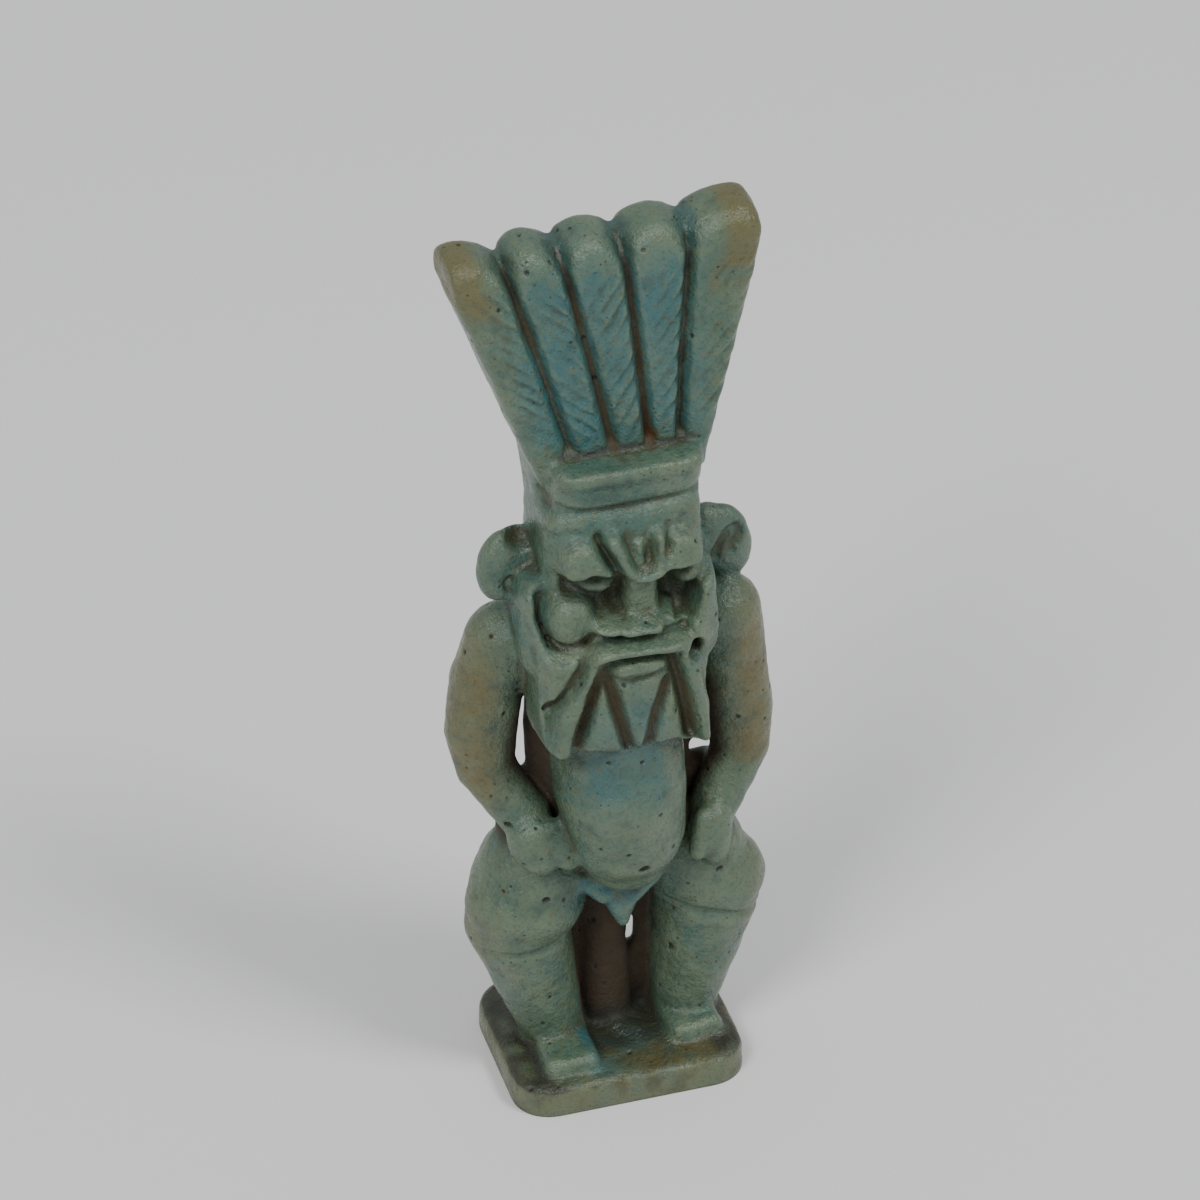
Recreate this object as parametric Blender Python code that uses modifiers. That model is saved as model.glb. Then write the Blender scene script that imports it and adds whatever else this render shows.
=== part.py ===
# Faience figurine of the dwarf god Bes under a tall crown of five feathers, moulded in one with its plinth.
# Metres, +Z up. The figure faces -Y, so its right hand is at -X.
# The origin is the middle of the plinth's underside.

import math

import bmesh
import bpy
import numpy as np
from mathutils import Euler, Matrix, Vector

# Driving dimensions, in metres
FIGURE_HEIGHT = 0.0440  # soles to feather tips
PLINTH_WIDTH = 0.0113
PLINTH_DEPTH = 0.0090
PLINTH_THICKNESS = 0.0015
PLINTH_CORNER = 0.0018  # radius of the upright corners
PLINTH_ARRIS = 0.0004  # rounding of the top edge
FIGURE_SET_BACK = 0.0004  # how far the figure stands behind the middle of its plinth

# How finely the clay is worked, and how many facets the finished solid keeps
CLAY_GRAIN = 0.00009
FACETS = 9600

# Pose, proportions and carving are in hundredths of the figure's height, with z = 0 at the soles.
PART = FIGURE_HEIGHT / 100
GLAZE_COLOUR = (0.107, 0.216, 0.191, 1)

# The five feathers, from the figure's right: both edges at the foot and at the tip, and the tip's height
FEATHER_FEET = [(-7.8, -4.2), (-5.0, 0.1), (-0.7, 3.8), (3.0, 6.8), (6.0, 9.3)]
FEATHER_TIPS = [(-18.2, -11.0), (-12.2, -5.0), (-6.2, 1.4), (0.4, 8.2), (7.4, 16.2)]
FEATHER_TOPS = [99.6, 100.0, 100.4, 100.8, 101.1]
VALLEYS = [97.8, 99.0, 99.1, 99.5]  # between neighbours
OUTER_VALLEY = 96.6  # how low the crown's outer ends round off
FEATHER_FOOT_Z = 72.0
FEATHER_TIP_Z = 100.5  # where the widths at the tip are taken
FEATHER_DEPTH_AT_TIP = 7.4
FEATHER_DEPTH_AT_FOOT = 9.6
FEATHER_MIDDLE_Y = 0.8
CROWN_TOP_ROUNDING = 1.8


def to_world(point):
    """A point in parts of the figure, in metres above the plinth's underside."""
    return Vector((point[0] * PART, FIGURE_SET_BACK + point[1] * PART, PLINTH_THICKNESS + point[2] * PART))


def turned(angles):
    """A turn by degrees about X, Y and Z."""
    return Euler([math.radians(angle) for angle in angles]).to_matrix().to_4x4()


def add(clay, form, place=Matrix.Identity(4)):
    """Presses one finished form onto the clay."""
    bmesh.ops.transform(form, matrix=place, verts=form.verts)
    mesh = bpy.data.meshes.new("form")
    form.to_mesh(mesh)
    form.free()
    clay.from_mesh(mesh)
    bpy.data.meshes.remove(mesh)


def ball(clay, centre, radii, turn=(0, 0, 0)):
    """An ellipsoid, in parts."""
    form = bmesh.new()
    bmesh.ops.create_uvsphere(form, u_segments=48, v_segments=32, radius=1)
    size = Matrix.Diagonal([radius * PART for radius in radii] + [1])
    add(clay, form, Matrix.Translation(to_world(centre)) @ turned(turn) @ size)


def limb(clay, stations, flat=1.0):
    """Round sections swept along stations (x, y, z, radius), in parts. flat squeezes them front to back."""
    for (x0, y0, z0, r0), (x1, y1, z1, r1) in zip(stations, stations[1:]):
        start, end = Vector((x0, y0 / flat, z0)), Vector((x1, y1 / flat, z1))
        along = end - start
        form = bmesh.new()
        bmesh.ops.create_cone(form, cap_ends=True, segments=40, radius1=r0, radius2=r1, depth=along.length)
        swing = along.to_track_quat("Z", "Y").to_matrix().to_4x4()
        squeeze = Matrix.Diagonal((PART, PART * flat, PART, 1))
        lift = Matrix.Translation(to_world((0, 0, 0)))
        add(clay, form, lift @ squeeze @ Matrix.Translation((start + end) / 2) @ swing)
    for x, y, z, radius in stations:
        ball(clay, (x, y, z), (radius, radius * flat, radius))


def slab(clay, centre, size, rounding, turn=(0, 0, 0), taper=1.0):
    """A block with all its edges rounded alike, in parts. taper widens or narrows its top in X."""
    form = bmesh.new()
    bmesh.ops.create_cube(form, size=1)
    bmesh.ops.scale(form, vec=size, verts=form.verts)
    top = [vert for vert in form.verts if vert.co.z > 0]
    bmesh.ops.scale(form, vec=(taper, 1, 1), verts=top)
    bmesh.ops.bevel(form, geom=form.edges[:], offset=rounding, segments=5, profile=0.5, affect="EDGES",
                    material=-1)
    add(clay, form, in_parts(centre, turn))


def block(clay, place, size, corner, arris, taper=1.0):
    """A block with its upright corners rounded by corner, and the edges of its top and underside by arris."""
    form = bmesh.new()
    bmesh.ops.create_cube(form, size=1)
    bmesh.ops.scale(form, vec=size, verts=form.verts)
    top = [vert for vert in form.verts if vert.co.z > 0]
    bmesh.ops.scale(form, vec=(taper, 1, 1), verts=top)
    upright = [edge for edge in form.edges if abs(edge.verts[0].co.z - edge.verts[1].co.z) > size[2] / 2]
    bmesh.ops.bevel(form, geom=upright, offset=corner, segments=8, profile=0.5, affect="EDGES", material=-1)
    rims = [edge for edge in form.edges if abs(edge.verts[0].co.z - edge.verts[1].co.z) < size[2] / 2]
    bmesh.ops.bevel(form, geom=rims, offset=arris, segments=4, profile=0.5, affect="EDGES", material=-1)
    add(clay, form, place)


def in_parts(centre, turn=(0, 0, 0)):
    """Places a form that is made in parts."""
    return Matrix.Translation(to_world(centre)) @ turned(turn) @ Matrix.Scale(PART, 4)


def plinth(clay):
    """The low base with rounded corners. It reaches below the ground, where trim cuts it off flat."""
    size = (PLINTH_WIDTH, PLINTH_DEPTH, 2 * PLINTH_THICKNESS)
    block(clay, Matrix.Identity(4), size, PLINTH_CORNER, PLINTH_ARRIS)


def legs(clay):
    """Short bowed legs: a swollen thigh that overhangs the shin a little, and a blunt foot."""
    ball(clay, (-8.6, 0.2, 20.6), (6.2, 5.9, 8.0), (0, 18, 0))
    ball(clay, (-9.3, -0.6, 18.4), (6.5, 5.5, 5.4), (0, 2, 0))
    limb(clay, [(-9.9, 0.2, 15.5, 5.7), (-8.5, -0.1, 9.0, 4.7), (-6.6, -0.6, 1.5, 3.5)])
    limb(clay, [(-9.4, -1.6, 12.0, 4.0), (-7.2, -2.0, 3.0, 3.0)], 0.9)
    slab(clay, (-6.2, -2.9, 0.3), (6.0, 12.2, 3.2), 1.1, (0, 0, -2))
    ball(clay, (9.2, 0.2, 20.2), (6.0, 5.7, 7.2), (0, -22, 0))
    ball(clay, (11.0, -0.4, 17.4), (6.3, 5.4, 5.2), (0, 10, 0))
    limb(clay, [(10.9, 0.2, 14.4, 5.9), (9.8, 0.0, 8.0, 4.9), (8.4, -0.6, 1.5, 3.7)], 0.98)
    limb(clay, [(9.8, -1.6, 11.0, 4.0), (8.4, -2.0, 3.0, 3.0)], 0.9)
    slab(clay, (7.7, -2.0, 0.3), (6.0, 10.2, 3.2), 1.1, (0, 0, 6))


def tail(clay):
    """The lion skin behind the hips and its tail, which hangs between the legs to a tuft on the plinth."""
    slab(clay, (0.4, 2.8, 20.6), (12.0, 4.0, 18.6), 1.9)
    slab(clay, (0.6, 2.2, 3.0), (10.0, 2.8, 9.0), 1.2)
    slab(clay, (-3.0, 2.2, 8.0), (3.6, 2.8, 15.0), 1.2)
    limb(clay, [(-0.2, 2.0, 22, 2.9), (-0.2, 1.6, 10, 2.7), (0.0, 0.8, -0.5, 2.9)], 0.85)
    slab(clay, (5.3, 2.2, 8.6), (3.5, 2.8, 8.4), 0.9)
    ball(clay, (1.5, -3.4, -0.3), (1.4, 2.3, 0.9))
    ball(clay, (0.4, -2.4, -0.2), (1.2, 1.8, 1.0))


def torso(clay):
    """Chest, hanging belly, hips, webs of clay behind the elbows, and the skin's point below the belly."""
    ball(clay, (0.2, 0.6, 47), (9.2, 5.4, 9.5))
    ball(clay, (-0.1, 0.8, 35), (8.2, 5.0, 13))
    belly = [(-0.2, -2.8, 40.4, 6.9), (-0.1, -4.5, 34.4, 7.0), (0.4, -4.5, 29.4, 6.4), (0.5, -4.5, 26.6, 5.0)]
    limb(clay, belly)
    slab(clay, (-0.2, -4.6, 36.4), (13.0, 9.2, 12.4), 3.8, (4, 0, 0))
    ball(clay, (0.4, 0.8, 26.0), (9.6, 5.2, 5.0))
    slab(clay, (-8.2, 1.8, 30.0), (7.0, 2.8, 8.0), 1.2)  # webs of clay behind the elbows
    slab(clay, (9.4, 1.6, 27.9), (7.0, 2.8, 8.6), 1.2)
    slab(clay, (-6.7, 1.2, 40.0), (3.8, 3.4, 15.0), 1.2)
    slab(clay, (9.0, 1.6, 40.8), (6.4, 2.8, 12.8), 1.0)
    slab(clay, (7.2, 1.6, 36.0), (4.4, 2.8, 9.0), 1.0)
    limb(clay, [(-0.2, -3.2, 21.6, 2.2), (0.0, -4.8, 18.8, 1.6), (0.1, -5.2, 16.8, 0.8)], 0.8)
    limb(clay, [(-4.2, -3.6, 22.4, 1.0), (-1.8, -4.8, 20.4, 1.1)])
    limb(clay, [(1.6, -4.8, 20.2, 1.1), (4.2, -4.0, 21.6, 0.9)])


def arms(clay):
    """Arms held a little clear of the flanks, with fists on the hips and thumbs against the belly."""
    right_arm = [
        (-10.9, 0.8, 51.8, 4.2),
        (-12.7, 1.0, 47.0, 3.9),
        (-13.5, 1.0, 41.0, 3.8),
        (-13.3, 0.2, 36.4, 3.1),
        (-9.6, -2.4, 30.8, 2.7),
    ]
    left_arm = [
        (12.3, 0.0, 51.4, 4.1),
        (13.6, 0.2, 45.0, 3.6),
        (14.4, 0.2, 38.0, 3.6),
        (14.4, -0.4, 33.6, 3.1),
        (11.0, -2.4, 28.0, 2.6),
    ]
    limb(clay, right_arm, 0.95)
    limb(clay, left_arm, 0.95)
    # fists, each with the thumb against the belly
    ball(clay, (-9.2, -4.4, 28.8), (2.9, 2.5, 3.6), (0, -26, 0))
    ball(clay, (-9.0, -5.2, 27.2), (1.9, 1.9, 1.8), (0, -14, 0))
    limb(clay, [(-7.6, -5.0, 31.0, 1.0), (-6.2, -6.2, 27.0, 1.1)])
    ball(clay, (10.0, -4.2, 26.2), (2.2, 2.4, 3.8), (0, 8, 0))
    ball(clay, (10.2, -5.0, 24.4), (1.6, 1.8, 2.2), (0, 8, 0))
    limb(clay, [(8.8, -5.2, 28.6, 0.9), (8.0, -6.0, 24.8, 1.0)])


def head(clay):
    """The broad lion-like head and the thick plate of the beard, without their features."""
    block(clay, in_parts((-0.1, -1.2, 61.0)), (17.4, 12.6, 20.0), 3.0, 1.8, 0.93)
    block(clay, in_parts((-0.5, -1.2, 57.0)), (20.6, 12.4, 12.0), 2.6, 2.2)
    ball(clay, (-0.4, -1.0, 58.0), (10.2, 6.6, 8.0))
    slab(clay, (-0.6, -5.2, 49.9), (16.6, 8.0, 13.8), 1.2, (-2, 2, 0), 1.14)
    slab(clay, (-0.4, -6.0, 50.3), (14.6, 8.6, 14.4), 1.1, (-2, 2, 0), 1.12)


def ears(clay):
    """Round lion's ears that stand out from the sides of the head."""
    ball(clay, (-11.3, -0.2, 62.4), (2.7, 1.8, 3.9), (0, 16, 0))
    ball(clay, (-11.5, -0.6, 60.4), (2.5, 1.7, 2.4))
    ball(clay, (-9.6, 0.2, 62.8), (2.6, 2.2, 3.2))
    ball(clay, (12.6, 0.8, 59.4), (3.0, 1.9, 4.6), (0, -12, 0))
    ball(clay, (10.6, 0.8, 60.8), (2.8, 2.2, 3.6))


def crown(clay):
    """The band above the brow, its ledge, and a thick fan of feathers standing on it."""
    block(clay, in_parts((0.3, 1.0, 71.2)), (16.6, 8.4, 8.0), 2.6, 0.8, 1.1)
    block(clay, in_parts((0.5, -1.3, 70.4)), (15.4, 11.2, 5.0), 2.8, 0.8)
    block(clay, in_parts((0.5, -1.5, 73.0)), (15.4, 11.2, 3.0), 2.4, 0.6)
    block(clay, in_parts((0.5, -1.5, 75.1)), (15.8, 12.0, 1.7), 2.4, 0.5)
    for foot, tip, top in zip(FEATHER_FEET, FEATHER_TIPS, FEATHER_TOPS):
        form = bmesh.new()
        bmesh.ops.create_cube(form, size=1)
        for vert in form.verts:
            high = vert.co.z > 0
            span = tip if high else foot
            depth = FEATHER_DEPTH_AT_TIP if high else FEATHER_DEPTH_AT_FOOT
            z = top + 0.3 if high else FEATHER_FOOT_Z
            vert.co = Vector((span[1] if vert.co.x > 0 else span[0], vert.co.y * depth + FEATHER_MIDDLE_Y, z))
        upright = [edge for edge in form.edges if abs(edge.verts[0].co.z - edge.verts[1].co.z) > 9]
        bmesh.ops.bevel(form, geom=upright, offset=1.5, segments=6, profile=0.5, affect="EDGES", material=-1)
        lift = Matrix.Translation(to_world((0, 0, 0)))
        add(clay, form, lift @ Matrix.Scale(PART, 4))


def smooth(share):
    """An even rise from 0 to 1."""
    share = np.clip(share, 0, 1)
    return share * share * (3 - 2 * share)


def distance(x, z, points):
    """How far each (x, z) is from a chain of points."""
    nearest = np.full(x.shape, 1e9)
    for (x0, z0), (x1, z1) in zip(points, points[1:]):
        dx, dz = x1 - x0, z1 - z0
        share = np.clip(((x - x0) * dx + (z - z0) * dz) / (dx * dx + dz * dz), 0, 1)
        nearest = np.minimum(nearest, np.hypot(x - x0 - share * dx, z - z0 - share * dz))
    return nearest


def ridge(x, z, points, half_width):
    """A rounded ridge along a chain of points, 1 on its line and 0 at half_width."""
    return np.sqrt(np.clip(1 - (distance(x, z, points) / half_width) ** 2, 0, 1))


def notch(x, z, points, half_width):
    """A cut along a chain of points, 1 on its line and 0 at half_width."""
    return smooth(1 - distance(x, z, points) / half_width)


def plate(x, z, corners, slope):
    """An area inside corners, 1 there and 0 outside, with a slope along its edge."""
    inside = np.zeros(x.shape, bool)
    for (x0, z0), (x1, z1) in zip(corners, corners[1:] + corners[:1]):
        crosses = (z0 > z) != (z1 > z)
        reach = (x1 - x0) * (z - z0) / (z1 - z0 if z1 != z0 else 1e-9) + x0
        inside ^= crosses & (x < reach)
    depth = distance(x, z, corners + corners[:1])
    return smooth(0.25 + np.where(inside, depth, -depth) / slope)


def dome(x, z, centre, radii, turn=0.0):
    """An oval swelling, 1 at its centre and 0 at its edge."""
    angle = math.radians(turn)
    dx, dz = x - centre[0], z - centre[1]
    u = (dx * math.cos(angle) + dz * math.sin(angle)) / radii[0]
    v = (dz * math.cos(angle) - dx * math.sin(angle)) / radii[1]
    return np.sqrt(np.clip(1 - u * u - v * v, 0, 1))


def press_to(forward, area, level):
    """Works the clay inside area towards a set distance forward of the figure's middle."""
    return forward + (level - forward) * area


def build_up(forward, shape, low, high):
    """Adds a swelling that rises from low to high."""
    return np.where(shape > 0, np.maximum(forward, low + (high - low) * shape), forward)


def droop(z):
    """Features above the mouth are given a little above where they lie, and this brings them down."""
    return z + 0.85 * smooth((z - 56.8) / 1.4)


def face_forms(x, z, forward):
    """How far forward the features of the face stand."""
    bow = 0.022 * (x - 0.2) ** 2
    low = z
    z = droop(z)
    face = [(-11.2, 54.0), (-11.6, 62.4), (-8.6, 63.6), (-8.6, 71.0), (8.4, 71.0), (9.8, 62.0), (9.8, 53.0)]
    forward = press_to(forward, plate(x, z, face, 1.6), 7.6 - bow)
    # sockets, deepest beside the nose, and the eyeballs tucked under the brows
    right_socket = [(-7.3, 65.4), (0.2, 65.4), (0.7, 57.2), (-2.9, 57.2), (-4.6, 59.6), (-7.0, 61.4)]
    left_socket = [(2.7, 65.4), (7.9, 65.6), (7.8, 60.8), (6.5, 57.0), (3.2, 57.0)]
    forward = press_to(forward, plate(x, z, right_socket, 1.0), 6.5 - bow)
    forward = press_to(forward, plate(x, z, left_socket, 1.0), 6.5 - bow)
    forward = forward - 1.3 * notch(x, z, [(-1.1, 62.0), (-1.1, 59.6)], 2.0)
    forward = forward - 1.1 * notch(x, z, [(4.3, 61.8), (4.3, 59.6)], 1.7)
    forward = build_up(forward, dome(x, z, (-3.5, 63.6), (2.1, 1.15), -5), 6.2, 8.3)
    forward = build_up(forward, dome(x, z, (6.3, 62.9), (1.7, 1.2), 18), 5.6, 8.1)
    # cheeks
    forward = build_up(forward, dome(x, low, (-6.1, 58.8), (2.7, 3.1), 8), 7.2, 9.4)
    left_cheek = [(7.2, 62.4), (9.4, 63.0), (10.2, 57.0), (9.8, 52.0), (5.6, 52.0), (5.4, 56.0), (6.2, 59.4)]
    forward = press_to(forward, plate(x, z, left_cheek, 1.4), 9.9 - 0.62 * (x - 6.4))
    # mane ridge from the ear round under the cheek
    mane = [(-10.9, 61.4), (-10.5, 58.4), (-9.6, 56.4), (-8.8, 55.4), (-7.6, 54.8), (-5.8, 55.3)]
    forward = build_up(forward, ridge(x, low, mane, 1.0), 5.4, 8.8 + 0.3 * (x + 9))
    # brows: two blocks joined by a thick rim above the nose
    right_brow = [(-7.5, 65.3), (-7.4, 68.4), (-6.0, 69.6), (-4.2, 69.4), (-2.9, 67.6), (-1.4, 65.2),
                  (-2.4, 64.9), (-4.4, 65.5), (-5.3, 65.0)]
    left_brow = [(2.3, 64.0), (3.2, 64.8), (4.7, 64.6), (7.7, 64.7), (7.9, 66.8), (6.4, 68.9), (3.9, 69.2),
                 (3.4, 67.4)]
    level = 10.5 - 0.3 * (z - 64.8) - 0.6 * bow
    forward = press_to(forward, plate(x, z, right_brow, 1.1), level)
    forward = press_to(forward, plate(x, z, left_brow, 1.1), level - 0.1)
    rim = [(-2.1, 69.2), (-1.5, 68.0), (-1.0, 66.8), (-0.3, 65.5), (0.8, 64.8), (2.0, 64.9), (2.9, 65.8)]
    forward = build_up(forward, ridge(x, z, rim, 0.9), 8.2, 10.4 - 0.2 * (z - 64.8))
    forward = build_up(forward, ridge(x, z, [(2.8, 68.9), (2.7, 65.6)], 0.75), 7.8, 9.6)
    # nose: a flat bridge down to a broad band
    recess = [(-0.9, 68.8), (2.3, 68.8), (2.2, 66.0), (1.2, 65.4), (0.2, 66.0)]
    forward = press_to(forward, plate(x, z, recess, 0.8) * 0.7, 7.8)
    forward = build_up(forward, ridge(x, z, [(0.7, 68.0), (0.9, 65.6)], 0.6), 7.6, 8.9)
    bridge = [(-0.4, 65.0), (2.7, 65.0), (3.1, 59.2), (-0.9, 59.2)]
    forward = press_to(forward, plate(x, z, bridge, 0.8) * (z < 64.6), 8.3)
    nose = [(-4.6, 58.8), (-4.5, 60.0), (-2.6, 60.2), (-0.6, 59.9), (1.8, 59.7), (4.2, 59.7), (4.9, 59.0),
            (4.4, 58.2), (3.6, 57.6), (1.1, 57.4), (-0.9, 57.6), (-2.0, 58.2), (-3.4, 58.3)]
    forward = press_to(forward, plate(x, z, nose, 0.9), 11.6 - 0.6 * (z - 58.0) - 0.6 * bow)
    # mouth recess and the moustache band under it
    mouth = [(-4.6, 57.1), (-1.2, 57.1), (2.0, 56.8), (5.0, 57.0)]
    forward = press_to(forward, notch(x, low, mouth, 0.8), 9.0)
    band = [(-4.6, 54.9), (-3.4, 55.9), (-0.9, 55.9), (2.0, 55.6), (4.2, 55.6), (5.0, 54.9)]
    return build_up(forward, ridge(x, low, band, 1.05), 9.0, 11.6)


def beard_forms(x, z, forward):
    """How far forward the beard, its outer strands and the tongue stand."""
    outline = [(-10.3, 56.6), (-10.0, 50.0), (-9.3, 42.6), (8.6, 42.4), (9.2, 48.0), (9.7, 54.0), (5.4, 55.4),
               (-5.0, 55.4)]
    forward = press_to(forward, plate(x, z, outline, 1.2), 10.3 - 0.026 * (x + 0.4) ** 2)
    facet = [(-9.9, 56.0), (-7.6, 55.0), (-5.4, 55.4), (-6.4, 52.4), (-8.9, 48.9)]
    forward = press_to(forward, plate(x, z, facet, 1.0), 9.9 + 0.12 * (x + 7.0))
    strands = ([(-4.6, 55.2), (-5.7, 52.6), (-6.9, 49.1), (-7.6, 46.2), (-7.9, 43.0)],
               [(5.0, 55.2), (5.8, 52.6), (6.7, 48.0), (7.6, 43.0)])
    for strand in strands:
        forward = build_up(forward, ridge(x, z, strand, 1.15), 9.0, 10.9)
    tongue = [(-2.5, 53.6), (-1.6, 54.4), (0.5, 54.6), (3.1, 54.3), (3.2, 53.2), (0.5, 52.5), (-2.1, 52.8)]
    return press_to(forward, plate(x, z, tongue, 0.8), 11.0)


def face_cuts(x, z):
    """Furrows and pits of the face and the beard, in parts of depth."""
    cuts = [
        ([(-7.8, 68.5), (-8.1, 64.7), (-8.7, 61.4)], 0.9, 0.6),
        ([(-8.7, 62.0), (-9.4, 59.6), (-9.2, 57.8), (-8.5, 56.5), (-7.3, 55.8), (-5.8, 55.9),
          (-4.5, 57.0)], 1.3, 0.6),
        ([(-3.3, 68.4), (-2.5, 66.6), (-1.7, 65.0)], 0.8, 0.7),
        ([(3.8, 67.9), (3.8, 66.4)], 0.6, 0.4),
        ([(-1.7, 59.4), (-1.8, 57.7)], 0.5, 0.35),
        ([(-4.6, 56.9), (-1.2, 56.9), (-0.4, 56.7), (3.4, 56.6), (5.0, 56.8)], 0.45, 0.8),
        ([(-4.6, 56.9), (-5.2, 55.6), (-5.8, 53.9), (-6.8, 52.0), (-7.9, 50.3), (-8.9, 48.9)], 0.7, 1.4),
        ([(-8.9, 48.9), (-8.7, 45.0)], 0.5, 0.5),
        ([(-3.4, 53.0), (-4.5, 50.3), (-5.4, 47.6), (-6.0, 45.4), (-6.3, 42.4)], 1.2, 1.6),
        ([(-2.9, 52.2), (-1.9, 47.7), (-0.5, 42.4)], 1.15, 1.9),
        ([(3.5, 50.8), (2.2, 46.7), (1.2, 42.4)], 1.1, 1.6),
        ([(3.8, 53.6), (5.0, 48.9), (5.7, 45.6), (6.2, 42.4)], 1.0, 1.4),
        ([(-3.8, 52.4), (-3.2, 53.9), (-1.8, 55.0), (2.1, 54.9), (3.7, 54.1)], 0.65, 1.3),
        ([(-2.3, 52.1), (-0.4, 51.7), (3.4, 52.4)], 0.5, 0.9),
    ]
    rise = np.zeros(x.shape)
    for points, half_width, depth in cuts:
        rise = np.minimum(rise, -depth * notch(x, z, points, half_width))
    rise -= 1.5 * dome(x, z, (3.3, 57.9), (0.75, 0.65)) + 0.7 * dome(x, z, (-1.0, 57.3), (0.8, 0.5))
    rise -= 2.6 * dome(x, z, (6.3, 54.0), (1.0, 1.4))
    return rise


def ear_cuts(x, z):
    """Hollows of the ears, each with a small ridge inside."""
    rise = -1.7 * dome(x, z, (-9.7, 65.4), (1.5, 1.2))
    rise -= 1.8 * dome(x, z, (-9.9, 60.8), (1.9, 1.2), 6)
    rise += 1.3 * ridge(x, z, [(-10.9, 60.7), (-9.0, 60.9)], 0.6)
    rise -= 1.9 * dome(x, z, (12.6, 60.2), (1.5, 2.6), -38)
    return rise + 1.3 * ridge(x, z, [(12.0, 58.8), (13.1, 61.0)], 0.6)


def feather_joints():
    """The lines between neighbouring feathers, from foot to tip."""
    for left_foot, right_foot, left_tip, right_tip in zip(FEATHER_FEET, FEATHER_FEET[1:],
                                                          FEATHER_TIPS, FEATHER_TIPS[1:]):
        foot = (left_foot[1] + right_foot[0]) / 2
        tip = (left_tip[1] + right_tip[0]) / 2
        yield [(foot, 75.6), (foot + (tip - foot) * 0.46, 87.0), (tip, 99.4)]


def joints_at(z):
    """The crown's two outer edges and four joints, at each height."""
    share = np.clip((z - FEATHER_FOOT_Z) / (FEATHER_TIP_Z - FEATHER_FOOT_Z), 0, 1.05)
    edges = [(FEATHER_FEET[0][0], FEATHER_TIPS[0][0])]
    for foot, next_foot, tip, next_tip in zip(FEATHER_FEET, FEATHER_FEET[1:], FEATHER_TIPS, FEATHER_TIPS[1:]):
        edges.append(((foot[1] + next_foot[0]) / 2, (tip[1] + next_tip[0]) / 2))
    edges.append((FEATHER_FEET[-1][1], FEATHER_TIPS[-1][1]))
    return [low + (high - low) * share for low, high in edges]


def lean_at(x, z):
    """How far sideways the fan runs for each part of height."""
    edges = joints_at(z)
    rise = FEATHER_TIP_Z - FEATHER_FOOT_Z
    left = (FEATHER_TIPS[0][0] - FEATHER_FEET[0][0]) / rise
    right = (FEATHER_TIPS[-1][1] - FEATHER_FEET[-1][1]) / rise
    return left + (right - left) * np.clip((x - edges[0]) / (edges[-1] - edges[0]), 0, 1)


def crown_top(x, y, z):
    """The height of the scalloped top above each point."""
    edges = joints_at(z)
    dips = [OUTER_VALLEY] + VALLEYS + [OUTER_VALLEY]
    height = np.full(x.shape, max(FEATHER_TOPS))
    for index, top in enumerate(FEATHER_TOPS):
        left, right = edges[index], edges[index + 1]
        across = (x - left) / (right - left)
        lean = np.where(across < 0.5, dips[index], dips[index + 1])
        outer = (across < 0.5) if index == 0 else (across > 0.5) if index == 4 else False
        bulge = np.clip(1 - np.abs(2 * across - 1) ** np.where(outer, 5.0, 1.8), 0, 1)
        here = (across >= 0 if index else across > -9) & (across < 1 if index < 4 else across < 9)
        height = np.where(here, lean + (top - lean) * bulge, height)
    roundness = CROWN_TOP_ROUNDING
    beyond = np.abs(y - FEATHER_MIDDLE_Y) - (FEATHER_DEPTH_AT_TIP / 2 - roundness)
    beyond = np.clip(beyond, 0, roundness)
    inset = np.minimum(x - edges[0], edges[-1] - x)
    return height - (roundness - np.sqrt(roundness ** 2 - beyond ** 2)) * smooth(0.2 + inset / 2.5)


def crown_cuts(x, z, depth):
    """Grooves between the feathers, and the crisp front of the ledge."""
    rise = np.zeros(x.shape)
    for joint in feather_joints():
        rise = np.minimum(rise, -depth * notch(x, z, joint, 0.9))
    rise += 0.35 * ridge(x, z, [(-7.4, 75.7), (0.0, 75.4), (7.8, 75.2)], 0.7)
    return rise


def band_cut(x, z):
    """The line where the crown's band meets the forehead."""
    return -0.7 * notch(x, z, [(-8.2, 72.2), (-4.9, 71.4), (0.4, 71.2), (5.7, 71.4), (8.6, 72.0)], 0.75)


def body_cuts(x, z):
    """Creases above the shins."""
    rise = -0.6 * notch(x, z, [(-15.6, 14.0), (-9.2, 14.6), (-6.5, 15.2), (-3.4, 17.2)], 0.7)
    return rise - 0.6 * notch(x, z, [(3.0, 18.2), (4.7, 17.3), (8.0, 16.1), (12.0, 14.8), (16.4, 13.2)], 0.7)


def model():
    """Presses all the forms together in soft clay."""
    clay = bmesh.new()
    for shape in (plinth, legs, tail, torso, arms, head, ears, crown):
        shape(clay)
    mesh = bpy.data.meshes.new("bes_figurine")
    clay.to_mesh(mesh)
    clay.free()
    figure = bpy.data.objects.new("bes_figurine", mesh)
    collection = bpy.data.collections.new("bes_figurine")
    bpy.context.scene.collection.children.link(collection)
    collection.objects.link(figure)
    return figure


def fuse(figure, rounds):
    """Turns the clay into one closed skin and softens it."""
    remesh = figure.modifiers.new("fuse", "REMESH")
    remesh.mode = "VOXEL"
    remesh.voxel_size = CLAY_GRAIN
    soften = figure.modifiers.new("soften", "SMOOTH")
    soften.factor = 0.5
    soften.iterations = rounds
    settle(figure)


def settle(figure):
    """Applies the figure's modifiers."""
    depsgraph = bpy.context.evaluated_depsgraph_get()
    mesh = bpy.data.meshes.new_from_object(figure.evaluated_get(depsgraph))
    figure.modifiers.clear()
    figure.data = mesh


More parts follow.
